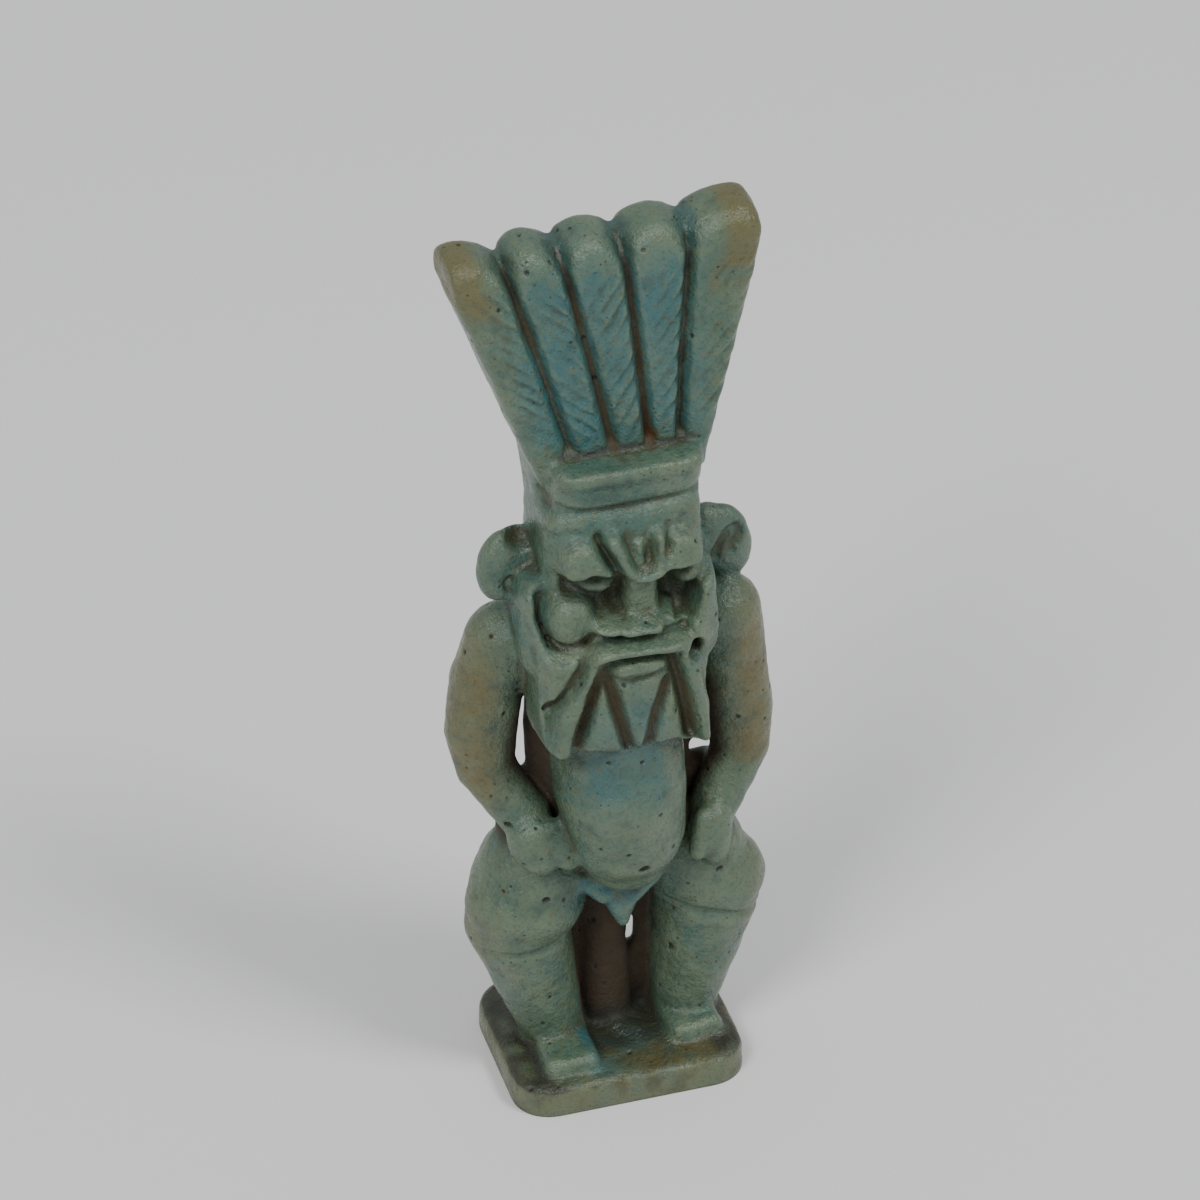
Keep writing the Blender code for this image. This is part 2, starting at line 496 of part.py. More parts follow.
def read_points(mesh):
    """The mesh's points and the directions they face, in parts."""
    points = np.empty(len(mesh.vertices) * 3)
    normals = np.empty(len(mesh.vertices) * 3)
    mesh.vertices.foreach_get("co", points)
    mesh.vertices.foreach_get("normal", normals)
    points = points.reshape(-1, 3) - np.array(to_world((0, 0, 0)))
    return points / PART, normals.reshape(-1, 3)


def write_points(mesh, points):
    """Moves the mesh's points to places given in parts."""
    mesh.vertices.foreach_set("co", (points * PART + np.array(to_world((0, 0, 0)))).ravel())
    mesh.update()


def carve_forms(figure):
    """Works the large forms of the face and the beard, and the scalloped top of the crown."""
    points, normals = read_points(figure.data)
    x, y, z = points.T
    front = smooth((-normals[:, 1] - 0.1) / 0.4)
    forward = -y
    near_face = smooth((10.6 - abs(x)) / 1.2) * (y < -2.5)
    worked = np.where((z > 53.0) & (z < 71.2), face_forms(x, z, forward), forward)
    worked = np.where((z > 42.6) & (z < 56.6) & (y < -6), beard_forms(x, z, worked), worked)
    points[:, 1] -= (worked - forward) * near_face * front
    drop = np.where(z > 88, np.minimum(crown_top(x, y, z) - z, 0), 0)  # slides down along the feathers
    points[:, 0] += drop * lean_at(x, z)
    points[:, 2] += drop
    write_points(figure.data, points)


def carve_cuts(figure):
    """Cuts the furrows of the face, ears, beard and feathers, and the creases of the legs."""
    points, normals = read_points(figure.data)
    x, y, z = points.T
    front = smooth((-normals[:, 1] - 0.05) / 0.35)
    back = smooth((normals[:, 1] - 0.2) / 0.4)
    near_face = smooth((10.8 - abs(x)) / 0.8) * (y < -4.5) * smooth((z - 42.6) / 0.5)
    rise = np.where((z > 42) & (z < 71), face_cuts(x, z) * near_face, 0)
    rise = np.where((abs(x) > 8.4) & (z > 54) & (z < 69) & (y < 3) & (y > -3.5), ear_cuts(x, z), rise)
    feathers = crown_cuts(x, z, 1.6) * smooth((z - 75.9) / 1.0) * smooth((99.4 - z) / 1.6)
    rise = np.where(z > 74.5, feathers, rise)
    rise = np.where((z > 70) & (z < 74) & (y < -2), band_cut(x, z), rise)
    rise = np.where((z < 24) & (y < 0), body_cuts(x, z), rise)
    grooves = np.where(z > 74.5, crown_cuts(x, z, 0.9), 0)
    points[:, 1] -= rise * front - grooves * back
    write_points(figure.data, points)


def facet(figure):
    """Brings the skin down to the finished number of flat facets."""
    mesh = figure.data
    mesh.calc_loop_triangles()
    thin = figure.modifiers.new("thin", "DECIMATE")
    thin.ratio = FACETS / len(mesh.loop_triangles)
    settle(figure)


def trim(figure):
    """Cuts the plinth off flat on the ground plane and keeps the one solid body above it."""
    body = bmesh.new()
    body.from_mesh(figure.data)
    geometry = body.verts[:] + body.edges[:] + body.faces[:]
    bmesh.ops.bisect_plane(body, geom=geometry, plane_co=(0, 0, 0), plane_no=(0, 0, 1), clear_inner=True)
    rim = [edge for edge in body.edges if edge.is_boundary]
    bmesh.ops.contextual_create(body, geom=rim)
    bmesh.ops.triangulate(body, faces=[face for face in body.faces if len(face.verts) > 3])
    highest = max(body.verts, key=lambda vert: vert.co.z)
    kept = {highest}
    edge_of_kept = [highest]
    while edge_of_kept:
        near = {edge.other_vert(vert) for vert in edge_of_kept for edge in vert.link_edges} - kept
        kept |= near
        edge_of_kept = list(near)
    bmesh.ops.delete(body, geom=[vert for vert in body.verts if vert not in kept], context="VERTS")
    bmesh.ops.recalc_face_normals(body, faces=body.faces)
    body.to_mesh(figure.data)
    body.free()
    figure.data.shade_smooth()


def glaze(figure):
    """Worn blue-green faience glaze."""
    material = bpy.data.materials.new("faience")
    material.use_nodes = True
    shader = material.node_tree.nodes["Principled BSDF"]
    shader.inputs["Base Color"].default_value = GLAZE_COLOUR
    shader.inputs["Roughness"].default_value = 0.5
    figure.data.materials.clear()
    figure.data.materials.append(material)


for stale in list(bpy.data.objects):
    bpy.data.objects.remove(stale)
figure = model()
fuse(figure, 16)
carve_forms(figure)
fuse(figure, 10)
carve_cuts(figure)
fuse(figure, 6)
facet(figure)
trim(figure)
glaze(figure)
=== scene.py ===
import math

import bmesh
import bpy
import numpy as np
from mathutils import Euler, Matrix, Vector
from mathutils.bvhtree import BVHTree
from mathutils.kdtree import KDTree

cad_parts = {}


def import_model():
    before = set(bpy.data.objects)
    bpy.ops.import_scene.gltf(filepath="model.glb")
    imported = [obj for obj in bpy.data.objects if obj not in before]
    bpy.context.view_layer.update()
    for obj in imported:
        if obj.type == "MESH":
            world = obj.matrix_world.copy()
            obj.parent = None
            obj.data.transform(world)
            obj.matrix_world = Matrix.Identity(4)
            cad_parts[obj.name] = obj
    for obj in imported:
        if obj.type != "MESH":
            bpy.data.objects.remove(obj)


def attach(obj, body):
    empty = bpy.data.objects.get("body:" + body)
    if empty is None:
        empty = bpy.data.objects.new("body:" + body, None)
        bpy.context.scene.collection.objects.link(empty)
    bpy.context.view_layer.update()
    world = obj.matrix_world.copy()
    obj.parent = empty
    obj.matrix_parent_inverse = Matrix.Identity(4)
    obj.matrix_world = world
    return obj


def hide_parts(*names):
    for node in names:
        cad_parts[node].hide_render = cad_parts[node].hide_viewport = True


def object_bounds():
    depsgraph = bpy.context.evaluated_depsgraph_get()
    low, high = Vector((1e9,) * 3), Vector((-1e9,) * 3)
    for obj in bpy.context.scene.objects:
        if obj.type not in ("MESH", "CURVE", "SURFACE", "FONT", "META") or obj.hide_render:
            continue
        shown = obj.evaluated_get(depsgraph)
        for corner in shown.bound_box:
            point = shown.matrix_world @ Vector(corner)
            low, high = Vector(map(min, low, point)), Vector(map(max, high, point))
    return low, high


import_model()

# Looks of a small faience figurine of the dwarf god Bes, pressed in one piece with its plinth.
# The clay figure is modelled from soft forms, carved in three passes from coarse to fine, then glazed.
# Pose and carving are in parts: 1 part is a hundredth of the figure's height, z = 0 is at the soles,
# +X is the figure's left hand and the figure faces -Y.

cadLow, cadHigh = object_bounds()

figurine = {
    "node": "bes_figurine",
    "height": 0.0440,  # soles to feather tips
    "plinthWidth": 0.0113,
    "plinthDepth": 0.0090,
    "plinthThickness": 0.0015,
    "plinthCorner": 0.0018,
    "plinthArris": 0.0004,
    "setBack": 0.0004,
    "coarseFusing": (0.00010, 14),  # voxel size in metres, and rounds of softening
    "middleFusing": (0.000085, 12),
    "fineFusing": (0.000078, 8),
    "triangles": 190000,
}
part = figurine["height"] / 100


def toWorld(point):
    return Vector((point[0] * part, figurine["setBack"] + point[1] * part,
                   figurine["plinthThickness"] + point[2] * part))


def turned(angles):
    return Euler([math.radians(angle) for angle in angles]).to_matrix().to_4x4()


def press(clay, form, place=Matrix.Identity(4)):  # adds one finished form to the clay
    bmesh.ops.transform(form, matrix=place, verts=form.verts)
    mesh = bpy.data.meshes.new("form")
    form.to_mesh(mesh)
    form.free()
    clay.from_mesh(mesh)
    bpy.data.meshes.remove(mesh)


def ball(clay, centre, radii, turn=(0, 0, 0)):
    form = bmesh.new()
    bmesh.ops.create_uvsphere(form, u_segments=48, v_segments=32, radius=1)
    size = Matrix.Diagonal([radius * part for radius in radii] + [1])
    press(clay, form, Matrix.Translation(toWorld(centre)) @ turned(turn) @ size)


def limb(clay, stations, flat=1.0):  # round sections swept along (x, y, z, radius)
    for (x0, y0, z0, r0), (x1, y1, z1, r1) in zip(stations, stations[1:]):
        start, end = Vector((x0, y0 / flat, z0)), Vector((x1, y1 / flat, z1))
        along = end - start
        form = bmesh.new()
        bmesh.ops.create_cone(form, cap_ends=True, segments=40, radius1=r0, radius2=r1, depth=along.length)
        swing = along.to_track_quat("Z", "Y").to_matrix().to_4x4()
        squeeze = Matrix.Diagonal((part, part * flat, part, 1))
        lift = Matrix.Translation(toWorld((0, 0, 0)))
        press(clay, form, lift @ squeeze @ Matrix.Translation((start + end) / 2) @ swing)
    for x, y, z, radius in stations:
        ball(clay, (x, y, z), (radius, radius * flat, radius))


def slab(clay, centre, size, rounding, turn=(0, 0, 0), taper=1.0):  # taper widens its top in X
    form = bmesh.new()
    bmesh.ops.create_cube(form, size=1)
    bmesh.ops.scale(form, vec=size, verts=form.verts)
    top = [vert for vert in form.verts if vert.co.z > 0]
    bmesh.ops.scale(form, vec=(taper, 1, 1), verts=top)
    bmesh.ops.bevel(form, geom=form.edges[:], offset=rounding, segments=5, profile=0.5, affect="EDGES",
                    material=-1)
    press(clay, form, inParts(centre, turn))


def block(clay, place, size, corner, arris, taper=1.0):  # upright corners rounded more than the rims
    form = bmesh.new()
    bmesh.ops.create_cube(form, size=1)
    bmesh.ops.scale(form, vec=size, verts=form.verts)
    top = [vert for vert in form.verts if vert.co.z > 0]
    bmesh.ops.scale(form, vec=(taper, 1, 1), verts=top)
    upright = [edge for edge in form.edges if abs(edge.verts[0].co.z - edge.verts[1].co.z) > size[2] / 2]
    bmesh.ops.bevel(form, geom=upright, offset=corner, segments=8, profile=0.5, affect="EDGES", material=-1)
    rims = [edge for edge in form.edges if abs(edge.verts[0].co.z - edge.verts[1].co.z) < size[2] / 2]
    bmesh.ops.bevel(form, geom=rims, offset=arris, segments=4, profile=0.5, affect="EDGES", material=-1)
    press(clay, form, place)


def inParts(centre, turn=(0, 0, 0)):
    return Matrix.Translation(toWorld(centre)) @ turned(turn) @ Matrix.Scale(part, 4)


def makePlinth(clay):  # reaches below the ground, where it is cut off flat at the end
    size = (figurine["plinthWidth"], figurine["plinthDepth"], 2 * figurine["plinthThickness"])
    block(clay, Matrix.Identity(4), size, figurine["plinthCorner"], figurine["plinthArris"])


def makeLegs(clay):
    ball(clay, (-8.6, 0.2, 20.6), (6.2, 5.9, 8.0), (0, 18, 0))
    ball(clay, (-9.3, -0.6, 18.4), (6.5, 5.5, 5.4), (0, 2, 0))
    limb(clay, [(-9.9, 0.2, 15.5, 5.7), (-8.5, -0.1, 9.0, 4.7), (-6.6, -0.6, 1.5, 3.5)])
    limb(clay, [(-9.4, -1.6, 12.0, 4.0), (-7.2, -2.0, 3.0, 3.0)], 0.9)
    slab(clay, (-6.2, -2.9, 0.3), (6.0, 12.2, 3.2), 1.1, (0, 0, -2))
    ball(clay, (9.2, 0.2, 20.2), (6.0, 5.7, 7.2), (0, -22, 0))
    ball(clay, (11.0, -0.4, 17.4), (6.3, 5.4, 5.2), (0, 10, 0))
    limb(clay, [(10.9, 0.2, 14.4, 5.9), (9.8, 0.0, 8.0, 4.9), (8.4, -0.6, 1.5, 3.7)], 0.98)
    limb(clay, [(9.8, -1.6, 11.0, 4.0), (8.4, -2.0, 3.0, 3.0)], 0.9)
    slab(clay, (7.7, -2.0, 0.3), (6.0, 10.2, 3.2), 1.1, (0, 0, 6))


def makeTail(clay):  # the lion skin behind the hips, and its tail down to a tuft on the plinth
    slab(clay, (0.4, 2.8, 20.6), (12.0, 4.0, 18.6), 1.9)
    slab(clay, (0.6, 2.2, 3.0), (10.0, 2.8, 9.0), 1.2)
    slab(clay, (-3.0, 2.2, 8.0), (3.6, 2.8, 15.0), 1.2)
    limb(clay, [(-0.2, 2.0, 22, 2.9), (-0.2, 1.6, 10, 2.7), (0.0, 0.8, -0.5, 2.9)], 0.85)
    slab(clay, (5.3, 2.2, 8.6), (3.5, 2.8, 8.4), 0.9)
    ball(clay, (1.5, -3.4, -0.3), (1.4, 2.3, 0.9))
    ball(clay, (0.4, -2.4, -0.2), (1.2, 1.8, 1.0))


def makeTorso(clay):
    ball(clay, (0.2, 0.6, 47), (9.2, 5.4, 9.5))
    ball(clay, (-0.1, 0.8, 35), (8.2, 5.0, 13))
    belly = [(-0.2, -2.8, 40.4, 6.9), (-0.1, -4.5, 34.4, 7.0), (0.4, -4.5, 29.4, 6.4), (0.5, -4.5, 26.6, 5.0)]
    limb(clay, belly)
    slab(clay, (-0.2, -4.6, 36.4), (13.0, 9.2, 12.4), 3.8, (4, 0, 0))
    ball(clay, (0.4, 0.8, 26.0), (9.6, 5.2, 5.0))
    slab(clay, (-8.2, 1.8, 30.0), (7.0, 2.8, 8.0), 1.2)  # webs of clay behind the elbows
    slab(clay, (9.4, 1.6, 27.9), (7.0, 2.8, 8.6), 1.2)
    slab(clay, (-6.7, 1.2, 40.0), (3.8, 3.4, 15.0), 1.2)
    slab(clay, (9.0, 1.6, 40.8), (6.4, 2.8, 12.8), 1.0)
    slab(clay, (7.2, 1.6, 36.0), (4.4, 2.8, 9.0), 1.0)
    limb(clay, [(-0.2, -3.2, 21.6, 2.2), (0.0, -4.8, 18.8, 1.6), (0.1, -5.2, 16.8, 0.8)], 0.8)
    limb(clay, [(-4.2, -3.6, 22.4, 1.0), (-1.8, -4.8, 20.4, 1.1)])
    limb(clay, [(1.6, -4.8, 20.2, 1.1), (4.2, -4.0, 21.6, 0.9)])


def makeArms(clay):
    rightArm = [
        (-10.9, 0.8, 51.8, 4.2),
        (-12.7, 1.0, 47.0, 3.9),
        (-13.5, 1.0, 41.0, 3.8),
        (-13.3, 0.2, 36.4, 3.1),
        (-9.6, -2.4, 30.8, 2.7),
    ]
    leftArm = [
        (12.3, 0.0, 51.4, 4.1),
        (13.6, 0.2, 45.0, 3.6),
        (14.4, 0.2, 38.0, 3.6),
        (14.4, -0.4, 33.6, 3.1),
        (11.0, -2.4, 28.0, 2.6),
    ]
    limb(clay, rightArm, 0.95)
    limb(clay, leftArm, 0.95)
    # fists, each with the thumb against the belly
    ball(clay, (-9.2, -4.4, 28.8), (2.9, 2.5, 3.6), (0, -26, 0))
    ball(clay, (-9.0, -5.2, 27.2), (1.9, 1.9, 1.8), (0, -14, 0))
    limb(clay, [(-7.6, -5.0, 31.0, 1.0), (-6.2, -6.2, 27.0, 1.1)])
    ball(clay, (10.0, -4.2, 26.2), (2.2, 2.4, 3.8), (0, 8, 0))
    ball(clay, (10.2, -5.0, 24.4), (1.6, 1.8, 2.2), (0, 8, 0))
    limb(clay, [(8.8, -5.2, 28.6, 0.9), (8.0, -6.0, 24.8, 1.0)])


def makeHead(clay):  # the broad head and the thick plate of the beard, still without features
    block(clay, inParts((-0.1, -1.2, 61.0)), (17.4, 12.6, 20.0), 3.0, 1.8, 0.93)
    block(clay, inParts((-0.5, -1.2, 57.0)), (20.6, 12.4, 12.0), 2.6, 2.2)
    ball(clay, (-0.4, -1.0, 58.0), (10.2, 6.6, 8.0))
    slab(clay, (-0.8, -5.0, 49.9), (17.0, 8.0, 13.8), 1.2, (-2, 2, 0), 1.11)
    slab(clay, (-7.8, -6.6, 46.5), (3.2, 5.8, 5.8), 0.8)
    slab(clay, (6.4, -7.2, 45.2), (3.4, 5.2, 5.8), 0.8)
    slab(clay, (-0.4, -6.0, 50.3), (14.6, 8.6, 14.4), 1.1, (-2, 2, 0), 1.12)


def makeEars(clay):
    ball(clay, (-11.3, -0.2, 62.4), (2.7, 1.8, 3.9), (0, 16, 0))
    ball(clay, (-11.5, -0.6, 60.4), (2.5, 1.7, 2.4))
    ball(clay, (-9.6, 0.2, 62.8), (2.6, 2.2, 3.2))
    ball(clay, (12.6, 0.8, 59.4), (3.0, 1.9, 4.6), (0, -12, 0))
    ball(clay, (10.6, 0.8, 60.8), (2.8, 2.2, 3.6))


crown = {
    # x of both edges of each feather at the foot and at the tip, from the figure's right
    "feet": [(-7.8, -4.2), (-5.0, 0.1), (-0.7, 3.8), (3.0, 6.8), (6.0, 9.3)],
    "tips": [(-18.2, -11.0), (-12.2, -5.0), (-6.2, 1.4), (0.4, 8.2), (7.4, 16.2)],
    "tops": [99.6, 100.0, 100.4, 100.8, 101.1],  # height of each tip
    "valleys": [96.6, 97.8, 99.0, 99.1, 99.5, 96.6],  # height of the dip on both sides of each feather
    "frontDip": 1.3,  # how much lower the dips are at the front
    "topRounding": 2.3,  # towards the front and the back
    "squareness": 1.8,  # of each tip, seen from the front
    "outerSquareness": 5.0,  # of the crown's two outer corners
    "footZ": 72.0,
    "tipZ": 100.5,  # where the widths at the tips are taken
    "tipDepth": 7.4,
    "footDepth": 9.6,
    "middleY": 0.8,
    "edgeRounding": 1.5,
    "grooveWidth": 0.9,  # from the middle line to either side
    "grooveDepth": 1.2,
    "backGrooveDepth": 0.9,
    "barbPitch": 2.1,
    "barbDepth": 0.14,
    "barbSlants": [-1.15, -1.15, 1.25, 1.25, 1.25],
}


def makeCrown(clay):  # a stepped band above the brow, and the fan of feathers standing on it
    block(clay, inParts((0.3, 1.0, 71.2)), (16.6, 8.4, 8.0), 2.6, 0.8, 1.1)
    block(clay, inParts((0.5, -1.3, 70.4)), (15.4, 11.2, 5.0), 2.8, 0.8)
    block(clay, inParts((0.5, -1.5, 73.0)), (15.4, 11.2, 3.0), 2.4, 0.6)
    block(clay, inParts((0.5, -1.5, 75.1)), (15.8, 12.0, 1.7), 2.4, 0.5)
    for foot, tip, top in zip(crown["feet"], crown["tips"], crown["tops"]):
        form = bmesh.new()
        bmesh.ops.create_cube(form, size=1)
        for vert in form.verts:
            high = vert.co.z > 0
            span = tip if high else foot
            depth = crown["tipDepth"] if high else crown["footDepth"]
            z = top + 0.3 if high else crown["footZ"]
            vert.co = Vector((span[1] if vert.co.x > 0 else span[0], vert.co.y * depth + crown["middleY"], z))
        upright = [edge for edge in form.edges if abs(edge.verts[0].co.z - edge.verts[1].co.z) > 9]
        bmesh.ops.bevel(form, geom=upright, offset=crown["edgeRounding"], segments=6, profile=0.5,
                        affect="EDGES", material=-1)
        lift = Matrix.Translation(toWorld((0, 0, 0)))
        press(clay, form, lift @ Matrix.Scale(part, 4))


# Shapes of carving, worked out for every point at once from its x and z

def fade(share):  # an even rise from 0 to 1
    share = np.clip(share, 0, 1)
    return share * share * (3 - 2 * share)


def distance(x, z, points):
    nearest = np.full(x.shape, 1e9)
    for (x0, z0), (x1, z1) in zip(points, points[1:]):
        dx, dz = x1 - x0, z1 - z0
        share = np.clip(((x - x0) * dx + (z - z0) * dz) / (dx * dx + dz * dz), 0, 1)
        nearest = np.minimum(nearest, np.hypot(x - x0 - share * dx, z - z0 - share * dz))
    return nearest


def ridge(x, z, points, halfWidth):  # rounded, 1 on its line
    return np.sqrt(np.clip(1 - (distance(x, z, points) / halfWidth) ** 2, 0, 1))


def notch(x, z, points, halfWidth):  # 1 on its line, with soft shoulders
    return fade(1 - distance(x, z, points) / halfWidth)


def plate(x, z, corners, slope):  # 1 inside its corners, with a slope along the edge
    inside = np.zeros(x.shape, bool)
    for (x0, z0), (x1, z1) in zip(corners, corners[1:] + corners[:1]):
        crosses = (z0 > z) != (z1 > z)
        reach = (x1 - x0) * (z - z0) / (z1 - z0 if z1 != z0 else 1e-9) + x0
        inside ^= crosses & (x < reach)
    depth = distance(x, z, corners + corners[:1])
    return fade(0.25 + np.where(inside, depth, -depth) / slope)


def dome(x, z, centre, radii, turn=0.0):  # 1 at its centre
    angle = math.radians(turn)
    dx, dz = x - centre[0], z - centre[1]
    u = (dx * math.cos(angle) + dz * math.sin(angle)) / radii[0]
    v = (dz * math.cos(angle) - dx * math.sin(angle)) / radii[1]
    return np.sqrt(np.clip(1 - u * u - v * v, 0, 1))


def toLevel(forward, area, level):  # works the clay inside area towards a set distance forward
    return forward + (level - forward) * area


def swell(forward, shape, low, high):  # a swelling that rises from low to high
    return np.where(shape > 0, np.maximum(forward, low + (high - low) * shape), forward)


def droop(z):  # the upper face hangs a little lower than its features' own heights
    return z + 0.85 * fade((z - 56.8) / 1.4)


def faceForms(x, z, forward):
    bow = 0.022 * (x - 0.2) ** 2
    low = z
    z = droop(z)
    face = [(-11.2, 54.0), (-11.6, 62.4), (-8.6, 63.6), (-8.6, 71.0), (8.4, 71.0), (9.8, 62.0), (9.8, 53.0)]
    forward = toLevel(forward, plate(x, z, face, 1.6), 7.6 - bow)
    # sockets, deepest beside the nose, and the eyeballs tucked under the brows
    rightSocket = [(-7.3, 65.4), (0.2, 65.4), (0.7, 57.2), (-2.9, 57.2), (-4.6, 59.6), (-7.0, 61.4)]
    leftSocket = [(2.7, 65.4), (7.9, 65.6), (7.8, 60.8), (6.5, 57.0), (3.2, 57.0)]
    forward = toLevel(forward, plate(x, z, rightSocket, 1.0), 6.5 - bow)
    forward = toLevel(forward, plate(x, z, leftSocket, 1.0), 6.5 - bow)
    forward = forward - 1.0 * notch(x, z, [(-1.1, 62.0), (-1.1, 59.6)], 2.0)
    forward = forward - 0.8 * notch(x, z, [(4.3, 61.8), (4.3, 59.6)], 1.7)
    forward = swell(forward, dome(x, z, (-3.5, 63.6), (2.1, 1.15), -5), 6.2, 8.3)
    forward = swell(forward, dome(x, z, (6.3, 62.9), (1.7, 1.2), 18), 5.6, 8.1)
    # cheeks
    forward = swell(forward, dome(x, low, (-6.1, 58.8), (2.7, 3.1), 8), 7.2, 9.4)
    leftCheek = [(7.2, 62.4), (9.4, 63.0), (10.2, 57.0), (9.8, 52.0), (5.6, 52.0), (5.4, 56.0), (6.2, 59.4)]
    forward = toLevel(forward, plate(x, z, leftCheek, 1.4), 9.9 - 0.62 * (x - 6.4))
    # mane ridge from the ear round under the cheek
    mane = [(-10.9, 61.4), (-10.5, 58.4), (-9.6, 56.4), (-8.8, 55.4), (-7.6, 54.8), (-5.8, 55.3)]
    forward = swell(forward, ridge(x, low, mane, 1.0), 5.4, 8.8 + 0.3 * (x + 9))
    # brows: two blocks joined by a thick rim above the nose
    rightBrow = [(-7.5, 65.3), (-7.4, 68.4), (-6.0, 69.6), (-4.2, 69.4), (-2.9, 67.6), (-1.4, 65.2),
                 (-2.4, 64.9), (-4.4, 65.5), (-5.3, 65.0)]
    leftBrow = [(2.3, 64.0), (3.2, 64.8), (4.7, 64.6), (7.7, 64.7), (7.9, 66.8), (6.4, 68.9), (3.9, 69.2),
                (3.4, 67.4)]
    level = 10.5 - 0.3 * (z - 64.8) - 0.6 * bow
    forward = toLevel(forward, plate(x, z, rightBrow, 1.1), level)
    forward = toLevel(forward, plate(x, z, leftBrow, 1.1), level - 0.1)
    rim = [(-2.1, 69.2), (-1.5, 68.0), (-1.0, 66.8), (-0.3, 65.5), (0.8, 64.8), (2.0, 64.9), (2.9, 65.8)]
    forward = swell(forward, ridge(x, z, rim, 0.9), 8.2, 10.4 - 0.2 * (z - 64.8))
    forward = swell(forward, ridge(x, z, [(2.8, 68.9), (2.7, 65.6)], 0.75), 7.8, 9.6)
    # nose: a flat bridge down to a broad band
    recess = [(-0.9, 68.8), (2.3, 68.8), (2.2, 66.0), (1.2, 65.4), (0.2, 66.0)]
    forward = toLevel(forward, plate(x, z, recess, 0.8) * 0.7, 7.8)
    forward = swell(forward, ridge(x, z, [(0.7, 68.0), (0.9, 65.6)], 0.6), 7.6, 8.9)
    bridge = [(-0.4, 65.0), (2.7, 65.0), (3.1, 59.2), (-0.9, 59.2)]
    forward = toLevel(forward, plate(x, z, bridge, 0.8) * (z < 64.6), 8.3)
    nose = [(-4.6, 58.8), (-4.5, 60.0), (-2.6, 60.2), (-0.6, 59.9), (1.8, 59.7), (4.2, 59.7), (4.9, 59.0),
            (4.4, 58.2), (3.6, 57.6), (1.1, 57.4), (-0.9, 57.6), (-2.0, 58.2), (-3.4, 58.3)]
    forward = toLevel(forward, plate(x, z, nose, 0.9), 11.6 - 0.6 * (z - 58.0) - 0.6 * bow)
    # mouth recess and the moustache band under it
    mouth = [(-4.6, 57.1), (-1.2, 57.1), (2.0, 56.8), (5.0, 57.0)]
    forward = toLevel(forward, notch(x, low, mouth, 0.8), 9.0)
    band = [(-4.6, 54.9), (-3.4, 55.9), (-0.9, 55.9), (2.0, 55.6), (4.2, 55.6), (5.0, 54.9)]
    return swell(forward, ridge(x, low, band, 1.05), 9.0, 11.6)


def beardForms(x, z, forward):
    outline = [(-10.3, 56.6), (-10.0, 50.0), (-9.3, 42.6), (8.6, 42.4), (9.2, 48.0), (9.7, 54.0), (5.4, 55.4),
               (-5.0, 55.4)]
    forward = toLevel(forward, plate(x, z, outline, 1.2), 10.3 - 0.026 * (x + 0.4) ** 2)
    facet = [(-9.9, 56.0), (-7.6, 55.0), (-5.4, 55.4), (-6.4, 52.4), (-8.9, 48.9)]
    forward = toLevel(forward, plate(x, z, facet, 1.0), 9.9 + 0.12 * (x + 7.0))
    strands = ([(-4.6, 55.2), (-5.7, 52.6), (-6.9, 49.1), (-7.6, 46.2), (-7.9, 43.0)],
               [(5.0, 55.2), (5.8, 52.6), (6.7, 48.0), (7.6, 43.0)])
    for strand in strands:
        forward = swell(forward, ridge(x, z, strand, 1.15), 9.0, 10.9)
    tongue = [(-2.5, 53.6), (-1.6, 54.4), (0.5, 54.6), (3.1, 54.3), (3.2, 53.2), (0.5, 52.5), (-2.1, 52.8)]
    return toLevel(forward, plate(x, z, tongue, 0.8), 11.0)


# zigzag grooves of the beard: course, half width, depth, and how much silt lies in them
beardGrooves = [
    ([(-4.6, 56.9), (-5.2, 55.6), (-5.8, 53.9), (-6.8, 52.0), (-7.9, 50.3), (-8.9, 48.9)], 0.8, 1.4, 0.4),
    ([(-3.4, 53.0), (-4.5, 50.3), (-5.4, 47.6), (-6.0, 45.4), (-6.3, 42.4)], 1.25, 1.5, 0.85),
    ([(-2.9, 52.2), (-1.9, 47.7), (-0.5, 42.4)], 1.15, 1.5, 0.85),
    ([(3.5, 50.8), (2.2, 46.7), (1.2, 42.4)], 1.1, 1.3, 0.85),
    ([(3.8, 53.6), (5.0, 48.9), (5.7, 45.6), (6.2, 42.4)], 1.05, 1.3, 0.85),
]


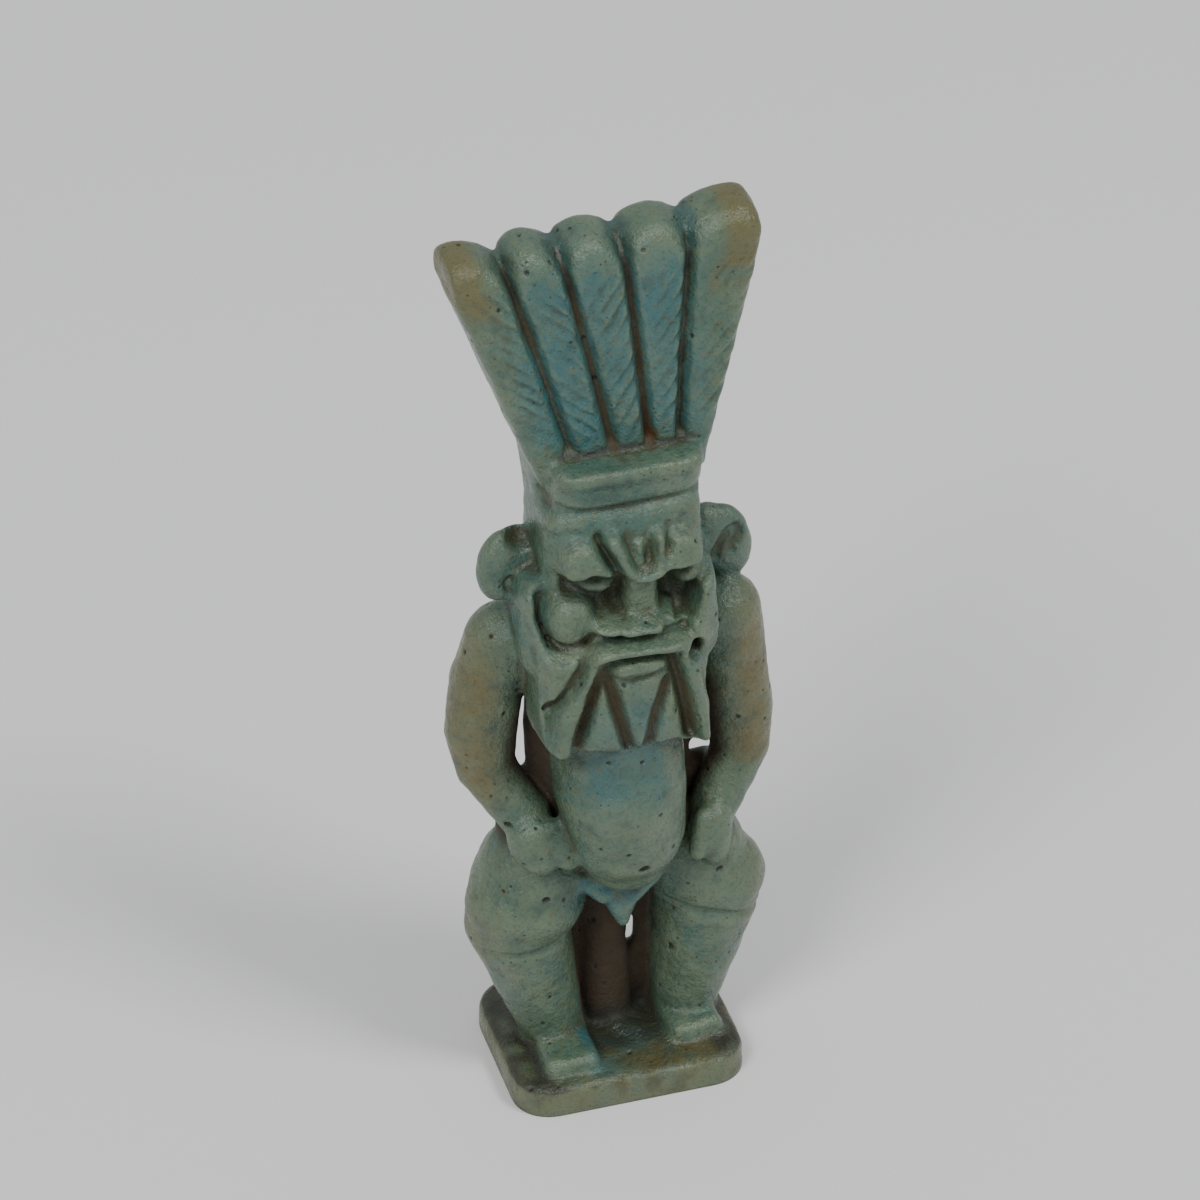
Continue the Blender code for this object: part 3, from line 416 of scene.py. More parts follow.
def faceCuts(x, z):  # grooves and pits of the face and the beard, in parts of depth
    cuts = [
        ([(-7.8, 68.5), (-8.1, 64.7), (-8.7, 61.4)], 0.9, 0.6),
        ([(-8.7, 62.0), (-9.4, 59.6), (-9.2, 57.8), (-8.5, 56.5), (-7.3, 55.8), (-5.8, 55.9),
          (-4.5, 57.0)], 1.3, 0.6),
        ([(-3.3, 68.4), (-2.5, 66.6), (-1.7, 65.0)], 0.8, 0.7),
        ([(3.8, 67.9), (3.8, 66.4)], 0.6, 0.4),
        ([(-1.7, 59.4), (-1.8, 57.7)], 0.5, 0.35),
        ([(-4.6, 56.9), (-1.2, 56.9), (-0.4, 56.7), (3.4, 56.6), (5.0, 56.8)], 0.45, 0.8),
        ([(-8.9, 48.9), (-8.7, 45.0)], 0.5, 0.5),
        ([(-3.8, 52.4), (-3.2, 53.9), (-1.8, 55.0), (2.1, 54.9), (3.7, 54.1)], 0.65, 1.3),
        ([(-2.3, 52.1), (-0.4, 51.7), (3.4, 52.4)], 0.5, 0.9),
    ]
    rise = np.zeros(x.shape)
    for points, halfWidth, depth in cuts + [groove[:3] for groove in beardGrooves]:
        rise = np.minimum(rise, -depth * notch(x, z, points, halfWidth))
    rise -= 1.5 * dome(x, z, (3.3, 57.9), (0.75, 0.65)) + 0.7 * dome(x, z, (-1.0, 57.3), (0.8, 0.5))
    rise -= 2.6 * dome(x, z, (6.3, 54.0), (1.0, 1.4))
    return rise


def earCuts(x, z):
    rise = -1.7 * dome(x, z, (-9.7, 65.4), (1.5, 1.2))
    rise -= 1.8 * dome(x, z, (-9.9, 60.8), (1.9, 1.2), 6)
    rise += 1.3 * ridge(x, z, [(-10.9, 60.7), (-9.0, 60.9)], 0.6)
    rise -= 1.1 * dome(x, z, (12.6, 60.2), (1.4, 2.4), -38)
    return rise + 0.7 * ridge(x, z, [(12.0, 58.8), (13.1, 61.0)], 0.6)


def jointEnds():  # x of the lines between neighbouring feathers, at the foot and at the tip
    feet, tips = crown["feet"], crown["tips"]
    for index in range(len(feet) - 1):
        yield (feet[index][1] + feet[index + 1][0]) / 2, (tips[index][1] + tips[index + 1][0]) / 2


def featherJoints():  # the same lines drawn from foot to tip
    for foot, tip in jointEnds():
        yield [(foot, 75.6), (foot + (tip - foot) * 0.46, 87.0), (tip, 99.4)]


def jointsAt(z):  # x of both outer edges and of the lines between the feathers at each height
    share = np.clip((z - crown["footZ"]) / (crown["tipZ"] - crown["footZ"]), 0, 1.05)
    edges = [(crown["feet"][0][0], crown["tips"][0][0])] + list(jointEnds())
    edges.append((crown["feet"][-1][1], crown["tips"][-1][1]))
    return [low + (high - low) * share for low, high in edges]


def leanAt(x, z):  # how far sideways the fan runs for each part of height
    edges = jointsAt(z)
    rise = crown["tipZ"] - crown["footZ"]
    left = (crown["tips"][0][0] - crown["feet"][0][0]) / rise
    right = (crown["tips"][-1][1] - crown["feet"][-1][1]) / rise
    return left + (right - left) * np.clip((x - edges[0]) / (edges[-1] - edges[0]), 0, 1)


def crownTop(x, y, z):  # height of the scalloped top above each point
    edges = jointsAt(z)
    last = len(crown["tops"]) - 1
    height = np.full(x.shape, 102.0)
    for index, top in enumerate(crown["tops"]):
        left, right = edges[index], edges[index + 1]
        across = (x - left) / (right - left)
        dip = np.where(across < 0.5, crown["valleys"][index], crown["valleys"][index + 1])
        dip = dip - crown["frontDip"] * fade((1.5 - y) / 4)
        outer = (across < 0.5) if index == 0 else (across > 0.5) if index == last else False
        squareness = np.where(outer, crown["outerSquareness"], crown["squareness"])
        bulge = np.clip(1 - np.abs(2 * across - 1) ** squareness, 0, 1)
        here = (across >= 0 if index else across > -9) & (across < 1 if index < last else across < 9)
        height = np.where(here, dip + (top - dip) * bulge, height)
    roundness = crown["topRounding"]
    beyond = np.clip(np.abs(y - crown["middleY"]) - (crown["tipDepth"] / 2 - roundness), 0, roundness)
    inset = np.minimum(x - edges[0], edges[-1] - x)
    return height - (roundness - np.sqrt(roundness ** 2 - beyond ** 2)) * fade(0.2 + inset / 2.5)


def crownCuts(x, z, depth):
    rise = np.zeros(x.shape)
    for joint in featherJoints():
        rise = np.minimum(rise, -depth * notch(x, z, joint, crown["grooveWidth"]))
    rise += 0.35 * ridge(x, z, [(-7.4, 75.7), (0.0, 75.4), (7.8, 75.2)], 0.7)
    return rise


def bandCut(x, z):  # the line where the crown's band meets the forehead
    return -0.7 * notch(x, z, [(-8.2, 72.2), (-4.9, 71.4), (0.4, 71.2), (5.7, 71.4), (8.6, 72.0)], 0.75)


def bodyCuts(x, z):
    rise = -0.6 * notch(x, z, [(-15.6, 14.0), (-9.2, 14.6), (-6.5, 15.2), (-3.4, 17.2)], 0.7)
    return rise - 0.6 * notch(x, z, [(3.0, 18.2), (4.7, 17.3), (8.0, 16.1), (12.0, 14.8), (16.4, 13.2)], 0.7)


def model():
    clay = bmesh.new()
    for make in (makePlinth, makeLegs, makeTail, makeTorso, makeArms, makeHead, makeEars, makeCrown):
        make(clay)
    mesh = bpy.data.meshes.new("besFigurine")
    clay.to_mesh(mesh)
    clay.free()
    piece = bpy.data.objects.new("besFigurine", mesh)
    bpy.context.scene.collection.objects.link(piece)
    return piece


def settle(piece):  # applies its modifiers
    depsgraph = bpy.context.evaluated_depsgraph_get()
    mesh = bpy.data.meshes.new_from_object(piece.evaluated_get(depsgraph))
    piece.modifiers.clear()
    piece.data = mesh


def fuse(piece, grain, rounds):  # turns the clay into one closed skin and softens it
    remesh = piece.modifiers.new("fuse", "REMESH")
    remesh.mode = "VOXEL"
    remesh.voxel_size = grain
    smoothing = piece.modifiers.new("soften", "SMOOTH")
    smoothing.factor = 0.5
    smoothing.iterations = rounds
    settle(piece)


def readPoints(mesh):
    points = np.empty(len(mesh.vertices) * 3)
    normals = np.empty(len(mesh.vertices) * 3)
    mesh.vertices.foreach_get("co", points)
    mesh.vertices.foreach_get("normal", normals)
    points = points.reshape(-1, 3) - np.array(toWorld((0, 0, 0)))
    return points / part, normals.reshape(-1, 3)


def writePoints(mesh, points):
    mesh.vertices.foreach_set("co", (points * part + np.array(toWorld((0, 0, 0)))).ravel())
    mesh.update()


def soften(mesh, values, rounds):  # evens values out over neighbouring points
    ends = np.empty(len(mesh.edges) * 2, np.int32)
    mesh.edges.foreach_get("vertices", ends)
    one, other = ends.reshape(-1, 2).T
    count = np.bincount(one, minlength=len(values)) + np.bincount(other, minlength=len(values))
    for _ in range(rounds):
        near = np.bincount(one, values[other], len(values)) + np.bincount(other, values[one], len(values))
        values = (values + near / np.maximum(count, 1)) / 2
    return values


def carveForms(piece):
    points, normals = readPoints(piece.data)
    x, y, z = points.T
    front = fade((-normals[:, 1] - 0.1) / 0.4)
    forward = -y
    nearFace = fade((10.6 - abs(x)) / 1.2) * (y < -2.5)
    worked = np.where((z > 53.0) & (z < 71.2), faceForms(x, z, forward), forward)
    worked = np.where((z > 42.6) & (z < 56.6) & (y < -6), beardForms(x, z, worked), worked)
    points[:, 1] -= soften(piece.data, (worked - forward) * nearFace * soften(piece.data, front, 8), 3)
    drop = np.where(z > 88, np.minimum(crownTop(x, y, z) - z, 0), 0)  # slides down along the feathers
    points[:, 0] += drop * leanAt(x, z)
    points[:, 2] += drop
    writePoints(piece.data, points)


def carveCuts(piece):
    points, normals = readPoints(piece.data)
    x, y, z = points.T
    front = fade((-normals[:, 1] - 0.05) / 0.35)
    back = fade((normals[:, 1] - 0.2) / 0.4)
    nearFace = fade((10.8 - abs(x)) / 0.8) * (y < -4.5) * fade((z - 42.6) / 0.5)
    rise = np.where((z > 42) & (z < 71), faceCuts(x, z) * nearFace, 0)
    rise = np.where((abs(x) > 8.4) & (z > 54) & (z < 69) & (y < 3) & (y > -3.5), earCuts(x, z), rise)
    grooves = crownCuts(x, z, crown["grooveDepth"]) * fade((z - 75.9) / 1.0) * fade((99.4 - z) / 1.6)
    rise = np.where(z > 74.5, grooves, rise)
    rise = np.where((z > 70) & (z < 74) & (y < -2), bandCut(x, z), rise)
    rise = np.where((z < 24) & (y < 0), bodyCuts(x, z), rise)
    backGrooves = np.where(z > 74.5, crownCuts(x, z, crown["backGrooveDepth"]), 0)
    front, back = soften(piece.data, front, 10), soften(piece.data, back, 10)
    points[:, 1] -= soften(piece.data, rise * front - backGrooves * back, 4)
    writePoints(piece.data, points)


def scatter(points, size, seed):  # soft random values from 0 to 1, alike over about one size
    count = 24  # lattice cells before the pattern repeats
    lattice = np.random.default_rng(seed).random((count, count, count))
    place = points / size
    low = np.floor(place).astype(int)
    share = fade(place - low)
    total = np.zeros(len(points))
    for corner in np.ndindex(2, 2, 2):
        weight = np.ones(len(points))
        for axis, far in enumerate(corner):
            weight *= share[:, axis] if far else 1 - share[:, axis]
        index = [(low[:, axis] + corner[axis]) % count for axis in range(3)]
        total += weight * lattice[index[0], index[1], index[2]]
    return total


def barbs(x, z):  # slanting barbs of the feathers, falling to the right on the first two
    edges = jointsAt(z)
    rise = np.zeros(x.shape)
    for index, slant in enumerate(crown["barbSlants"]):
        left, right = edges[index], edges[index + 1]
        across = (x - left) / (right - left)
        wave = np.cos(2 * math.pi * (z - slant * (x - left)) / crown["barbPitch"])
        here = fade(across / 0.7) * fade((1 - across) / 0.15) * ((across > 0) & (across < 1))
        rise += here * (np.abs(wave) ** 0.7 * np.sign(wave)) * crown["barbDepth"]
    return rise * fade((z - 77) / 3) * fade((98 - z) / 3)


skin = {
    "uneven": [(5.0, 0.24, 3), (1.9, 0.18, 5), (0.8, 0.10, 7)],  # size, height and seed of each swelling
    # pores left by gas and by grains worn out of the clay
    "poreCount": 420,
    "poreSeed": 11,
    "smallestPore": 0.14,
    "poreSpread": 0.24,
    "poreDepth": 0.7,  # as a share of its radius
    "largePores": [  # x, z, radius and depth of those that stand out on the front
        (0.8, 27.4, 0.65, 0.6),
        (-1.0, 29.9, 0.3, 0.3),
        (5.7, 10.1, 0.8, 0.7),
        (-8.4, 21.7, 0.5, 0.4),
        (-11.9, 31.3, 0.5, 0.4),
        (-12.2, 28.6, 0.4, 0.3),
        (10.8, 21.1, 0.45, 0.4),
        (2.4, 34.6, 0.25, 0.3),
    ],
    "largePoresBefore": -3.0,  # y
}


def carveFine(piece):
    points, normals = readPoints(piece.data)
    x, y, z = points.T
    front = fade((-normals[:, 1] - 0.2) / 0.4)
    uneven = sum(height * (scatter(points, size, seed) - 0.5) for size, height, seed in skin["uneven"])
    calm = fade((z + 3.2) / 0.9)  # none on the plinth's foot, which stays flat
    hatch = barbs(x, z + 0.7 * scatter(points, 3.2, 9)) * (0.25 + 1.5 * scatter(points, 2.6, 13))
    rise = soften(piece.data, np.where(z > 76, hatch, 0) * front, 2)
    points += normals * (uneven * calm)[:, None]
    points[:, 1] -= rise
    pits = np.zeros(len(points))
    for px, pz, radius, depth in skin["largePores"]:
        shape = dome(x, z, (px, pz), (radius, radius * 0.75)) * (y < skin["largePoresBefore"]) * front
        pits = np.maximum(pits, shape)
        points[:, 1] += shape * depth
    chance = np.random.default_rng(skin["poreSeed"])
    tree = KDTree(len(points))
    for index, point in enumerate(points):
        tree.insert(point, index)
    tree.balance()
    for index in chance.choice(len(points), skin["poreCount"], replace=False):
        radius = skin["smallestPore"] + skin["poreSpread"] * chance.random() ** 2
        for _, near, gap in tree.find_range(points[index], radius):
            share = 1 - (gap / radius) ** 2
            pits[near] = max(pits[near], share)
            points[near] -= normals[near] * share * radius * skin["poreDepth"]
    writePoints(piece.data, points)
    pitLayer = piece.data.attributes.new("pore", "FLOAT", "POINT")
    pitLayer.data.foreach_set("value", pits.astype(np.float32))


def thin(piece):  # down to the finished number of facets
    piece.data.calc_loop_triangles()
    modifier = piece.modifiers.new("thin", "DECIMATE")
    modifier.ratio = figurine["triangles"] / len(piece.data.loop_triangles)
    settle(piece)


def trim(piece):  # cuts the plinth off flat on the ground and keeps the one solid body above it
    body = bmesh.new()
    body.from_mesh(piece.data)
    everything = body.verts[:] + body.edges[:] + body.faces[:]
    bmesh.ops.bisect_plane(body, geom=everything, plane_co=(0, 0, 0), plane_no=(0, 0, 1), clear_inner=True)
    rim = [edge for edge in body.edges if edge.is_boundary]
    bmesh.ops.contextual_create(body, geom=rim)
    bmesh.ops.triangulate(body, faces=[face for face in body.faces if len(face.verts) > 4])
    highest = max(body.verts, key=lambda vert: vert.co.z)
    kept = {highest}
    newest = [highest]
    while newest:
        near = {edge.other_vert(vert) for vert in newest for edge in vert.link_edges} - kept
        kept |= near
        newest = list(near)
    bmesh.ops.delete(body, geom=[vert for vert in body.verts if vert not in kept], context="VERTS")
    bmesh.ops.recalc_face_normals(body, faces=body.faces)
    body.to_mesh(piece.data)
    body.free()


def keepInside(piece):  # eases the skin by a hair where it would stand out of the frame's box
    co = np.empty(len(piece.data.vertices) * 3)
    piece.data.vertices.foreach_get("co", co)
    co = co.reshape(-1, 3)
    low, high = np.array(cadLow), np.array(cadHigh)
    size = np.minimum(1, (high - low) / (co.max(0) - co.min(0)))
    centre = (co.max(0) + co.min(0)) / 2
    centre[2] = 0
    co = centre + (co - centre) * size
    shift = np.maximum(low - co.min(0), 0) - np.maximum(co.max(0) - high, 0)
    shift[2] = 0
    piece.data.vertices.foreach_set("co", (co + shift).ravel())
    piece.data.update()


def record(mesh, name, values):  # keeps a mask on the points under its name
    layer = mesh.attributes.get(name) or mesh.attributes.new(name, "FLOAT", "POINT")
    layer.data.foreach_set("value", np.clip(values, 0, 1).astype(np.float32))


weathering = {
    "reach": 6.5,  # parts: clay nearer than this shuts a point in
    "rays": 14,
    "fineRounds": 10,  # rounds of evening out that tell narrow hollows, and broad ones
    "broadRounds": 90,
    "broadPatches": (4.0, 21),  # size in parts, and seed
    "raggedPatches": (1.6, 23),
}


def openness(mesh):  # share of directions from which each point can be reached
    mesh.calc_loop_triangles()
    corners = [vert.co.copy() for vert in mesh.vertices]
    shell = BVHTree.FromPolygons(corners, [tuple(tri.vertices) for tri in mesh.loop_triangles])
    golden = math.pi * (3 - math.sqrt(5))
    rays = []
    for index in range(weathering["rays"]):
        height = 1 - (index + 0.5) / weathering["rays"] * 0.93
        across = math.sqrt(1 - height * height)
        rays.append((across * math.cos(golden * index), across * math.sin(golden * index), height))
    reach = weathering["reach"] * part
    free = np.zeros(len(corners))
    for index, vert in enumerate(mesh.vertices):
        normal = vert.normal
        side = normal.orthogonal().normalized()
        other = normal.cross(side)
        start = corners[index] + normal * 0.06 * part
        for a, b, c in rays:
            hit = shell.ray_cast(start, side * a + other * b + normal * c, reach)
            if hit[0] is None:
                free[index] += 1
            else:
                free[index] += 0.5 * hit[3] / reach
    return free / len(rays)


def strongest(*masks):  # the largest of several masks at each point
    return np.maximum.reduce(masks)


def crownPlaces(x, y, z):  # the feathers' faces, the line at their feet and the valleys between their tips
    faces = fade((y + 5.0) / 0.5) * (y < 0) * (z > 75.8) * fade((98.4 - z) / 2)
    feet = fade((z - 75.8) / 0.3) * fade((77.0 - z) / 0.8) * fade((8.4 - abs(x - 0.8)) / 2) * fade(-y - 3)
    feet *= fade((y + 5.4) / 0.8)
    valleys = np.zeros(len(x))
    for joint in featherJoints():
        valleys = np.maximum(valleys, notch(x, z, joint[1:], 2.1) * fade((z - 96.8) / 1.4))
    return faces, feet, valleys


def layEarth(mesh, points, normals, free, patchy, ragged):
    x, y, z = points.T
    # soil fills the deep gaps between the legs and behind the elbows
    legs = fade((5.2 - abs(x - 0.2)) / 1.2) * fade((22 - z) / 3) * fade((z + 1) / 2)
    elbows = fade((abs(x) - 5.6) / 1.2) * fade((13.5 - abs(x)) / 2) * fade((z - 25) / 3) * fade((47 - z) / 5)
    deep = fade((y + 3.6) / 2.6) * fade((4.2 - y) / 1.5)
    deep *= 0.25 + 0.75 * fade((0.5 - normals[:, 1]) / 0.6)  # the back stays glazed
    record(mesh, "soil", np.maximum(legs, elbows) * deep + 0.8 * fade((0.36 - free) / 0.3))
    # silt lies in the grooves of crown and beard, in the ears and in the creases of the hips
    faces, feet, _ = crownPlaces(x, y, z)
    silt = 0.5 * fade((0.5 - free) / 0.3) * fade((patchy + ragged) * 1.4 - 0.5)
    for joint, share in zip(featherJoints(), (fade((z - 84) / 6), 0.9, 1.0, 0.4)):
        groove = notch(x, z, joint, 0.85) * faces
        silt = np.maximum(silt, fade(groove * 2.4 - 0.7) * (0.35 + 0.75 * ragged) * (0.15 + 0.85 * share))
    for course, halfWidth, _, share in beardGrooves:
        groove = notch(x, z, course, halfWidth * 1.1) * fade((z - 42.8) / 0.6) * (y < -5)
        silt = np.maximum(silt, fade(groove * 3 - 0.6) * (0.5 + 0.6 * ragged) * share)
    for crease in ([(-7.2, 22.8), (-4.6, 21.3), (-2.6, 20.0)], [(6.6, 20.0), (4.6, 17.2)]):
        silt = np.maximum(silt, 0.8 * notch(x, z, crease, 1.5) * (y < -1.5) * fade((0.8 - free) / 0.3))
    leftEar = 0.6 * dome(x, z, (12.5, 60.0), (1.3, 2.2), -38) ** 2 * (y < 0.5)
    rightEar = 0.6 * dome(x, z, (-9.7, 65.4), (1.5, 1.2)) ** 2 * (y < 0.5)
    record(mesh, "silt", strongest(silt, leftEar, rightEar, 0.35 * feet * (0.4 + ragged)))
    # a rusty spot at the foot of the third groove, and traces along all four
    rust = dome(x, z, (3.5, 76.9), (0.9, 1.1)) ** 2 * fade((y + 5.4) / 0.8)
    for joint in featherJoints():
        rust = np.maximum(rust, 0.55 * notch(x, z, joint, 0.6) * fade(patchy * 3 - 1.5) * fade((z - 77) / 4))
    record(mesh, "rust", np.where((y < -2) & (z > 75), rust, 0))


# dark stains on the plinth, at the feathers' feet and at the groove ends, with painted shade under the beard,
# in the eye sockets and in the valleys between the tips
def layGrimeAndShade(mesh, points, normals, free, patchy, ragged):
    x, y, z = points.T
    faces, feet, valleys = crownPlaces(x, y, z)
    top = fade((1.2 - z) / 0.8) * fade((z + 0.9) / 0.5) * fade((normals[:, 2] - 0.3) / 0.4)
    corners = fade((-4.0 - x) / 5) + fade((x - 7) / 4) + 0.6 * fade((y - 1) / 3)
    sockets = dome(x, z, (-4.7, 61.4), (3.4, 2.3)) + dome(x, z, (5.6, 60.8), (2.8, 2.6))
    grimeAndShade = strongest(
        top * np.clip(corners, 0, 1) * (0.35 + 0.9 * ragged),
        0.45 * top * fade(patchy * 3 - 1),
        0.85 * fade((5.2 - abs(x - 0.6)) / 2) * fade((3.0 - z) / 2) * fade((y + 8) / 3),  # between the feet
        0.4 * fade((0.4 - z) / 0.6) * fade(ragged * 4 - 2),
        0.3 * fade((z - 35) / 5) * fade((45 - z) / 2) * (y < -4) * fade((8 - abs(x)) / 2),  # painted shadow of the beard on the top of the belly
        # painted shade in the eye sockets, where the clay shuts them in
        fade(sockets * 2) * 0.45 * fade((0.9 - free) / 0.3) * (y < -3),
        # painted shade in the valleys between the feathers' tips
        0.4 * fade(valleys * 1.6),
        0.85 * feet,
    )
    for joint in featherJoints():
        grimeAndShade = np.maximum(grimeAndShade, 0.9 * notch(x, z, joint, 0.8) * fade((z - 92) / 4) * faces)
    record(mesh, "grimeAndShade", grimeAndShade)


def layTones(mesh, points, patchy, ragged):
    x, y, z = points.T
    valleys = crownPlaces(x, y, z)[2]
    blue = strongest(  # where the glaze is thick, and painted shade in the valleys between the feathers' tips
        fade((13 - abs(x + 0.1 * (z - 80))) / 7) * fade((z - 74) / 5) * fade((103 - z) / 8),
        # thicker glaze in the valleys between the tips, deepened as painted shade
        0.6 * fade(valleys * 1.5),
        0.35 * fade((z - 66) / 3) * fade((76 - z) / 2),
        0.5 * fade((abs(x) - 7.4) / 1.5) * fade((z - 52) / 5) * fade((74 - z) / 3),
        0.8 * fade((6.5 - abs(x + 1.0)) / 4) * fade((z - 31) / 8) * fade((52 - z) / 5),
        0.5 * fade((8 - abs(x)) / 3) * fade((24 - z) / 4) * fade((z - 13) / 4),
        1.2 * fade((5.4 - abs(x)) / 1.5) * fade((23.6 - z) / 2) * fade((-3.4 - y) / 1),
        fade(0.42 - abs(patchy - 0.7) * 3),
    )
    record(mesh, "blue", blue * (0.5 + 0.8 * patchy))
    worn = strongest(  # arms, thighs and the plinth's rim
        fade((abs(x) - 10.5) / 4.5) * fade((z - 30) / 6) * fade((58 - z) / 6),
        0.5 * fade((abs(x) - 11) / 5) * fade((26 - z) / 8) * fade((z - 6) / 6),
        fade((0.8 - z) / 1.2) * (0.5 + 0.7 * ragged),
    )
    record(mesh, "worn", worn * (0.6 + 0.6 * patchy))
    tips = fade((abs(x + 1.2) - 11 + 0.6 * (97 - z) * (z < 97)) / 3) * fade((z - 90 - 3 * ragged) / 5)
    record(mesh, "tip", tips)


def weather(piece):  # where soil, thick glaze and wear lie, and where shade is painted, kept on the points for the finish
    mesh = piece.data
    points, normals = readPoints(mesh)
    fine, broad = points.copy(), points.copy()
    for axis in range(3):
        fine[:, axis] = soften(mesh, points[:, axis], weathering["fineRounds"])
        broad[:, axis] = soften(mesh, points[:, axis], weathering["broadRounds"])
    fineHollow = ((fine - points) * normals).sum(1)
    broadHollow = ((broad - points) * normals).sum(1)
    free = soften(mesh, openness(mesh), 2)
    record(mesh, "hollow", 0.5 + 2.2 * fineHollow + 0.9 * broadHollow)
    record(mesh, "edge", 3.0 * -fineHollow + 1.1 * -broadHollow)
    patchy = scatter(points, *weathering["broadPatches"])
    ragged = scatter(points, *weathering["raggedPatches"])
    layEarth(mesh, points, normals, free, patchy, ragged)
    layGrimeAndShade(mesh, points, normals, free, patchy, ragged)
    layTones(mesh, points, patchy, ragged)


def linear(code):  # sRGB hex to linear
    values = [int(code[index:index + 2], 16) / 255 for index in (1, 3, 5)]
    return [v / 12.92 if v <= 0.04045 else ((v + 0.055) / 1.055) ** 2.4 for v in values] + [1]


def addNode(tree, kind, settings=None, links=None):  # one node with its settings and its inputs' links
    node = tree.nodes.new(kind)
    for name, value in (settings or {}).items():
        if name in node.inputs.keys() or isinstance(name, int):
            node.inputs[name].default_value = value
        else:
            setattr(node, name, value)
    for name, source in (links or {}).items():
        tree.links.new(source, node.inputs[name])
    return node


faience = {
    # glazed Egyptian faience: crushed quartz under a thin copper glaze, worn matt, so it reads as
    # blue-green with a soft satin shine, olive where the glaze is thin, and brown where soil has stayed
    "glaze": "#48604f",
    "paleGlaze": "#65735c",
    "thickGlaze": "#2a5f64",
    "deepGlaze": "#2a3f3a",
    "thinGlaze": "#62582f",
    "film": "#3c3d29",
    "silt": "#463a22",
    "soil": "#37291b",
    "grimeAndShade": "#23261f",
    "rust": "#4f3412",
    "speck": "#1d2019",
    "roughness": 0.29,
    "roughnessSpread": 0.1,  # cloudy change of the shine, up and down
    "earthRoughness": 0.6,  # added where soil or silt lies
    "ior": 1.5,
    "speckSpacing": 0.00046,  # metres between dark specks, and the largest one's share of that
    "speckSize": 0.17,
    "reliefs": {"grain": 0.00007, "blotch": 0.00011},  # metres of unevenness in the shine of the glaze
    "reliefStrength": 0.9,
    # what the points carry
    "fields": ["hollow", "edge", "soil", "silt", "rust", "grimeAndShade", "blue", "worn", "tip", "pore"],
    "cloudRoughness": 0.62,
    # clouds in the glaze: size in metres, detail, and where in the pattern they are taken
    "clouds": {"cloud": (0.0026, 4, 0.01), "mottle": (0.0011, 5, 0.03), "blotch": (0.00045, 4, 0.04),
               "grain": (0.00017, 3, 0.05)},
    # layers from the body outwards: colour, what drives it, from and to which value, and how much shows
    "layers": [
        ("paleGlaze", "cloud", 0.36, 0.66, 0.75),
        ("thickGlaze", "blue", 0.0, 1.0, 0.8),
        ("thinGlaze", "worn", 0.0, 1.0, 0.9),
        ("deepGlaze", "mottle", 0.5, 0.72, 0.6),
        ("paleGlaze", "mottle", 0.44, 0.28, 0.4),
        ("thinGlaze", "blotch", 0.52, 0.68, 0.42),
        ("deepGlaze", "blotch", 0.45, 0.28, 0.42),
        ("paleGlaze", "edge", 0.15, 0.9, 0.45),
        ("thinGlaze", "tip", 0.0, 1.0, 0.72),
        ("deepGlaze", "grain", 0.52, 0.66, 0.35),
        ("film", "hollow", 0.54, 0.92, 0.7),
        ("silt", "silt", 0.0, 1.0, 0.9),
        ("soil", "soil", 0.0, 1.0, 0.95),
        ("rust", "rust", 0.0, 1.0, 0.9),
        # dark stains, and painted shade under the beard, in the eye sockets and between the feathers' tips
        ("grimeAndShade", "grimeAndShade", 0.0, 1.0, 0.85),
        ("speck", "speck", 0.03, -0.05, 0.7),
        ("speck", "pore", 0.1, 0.8, 0.9),
    ],
}


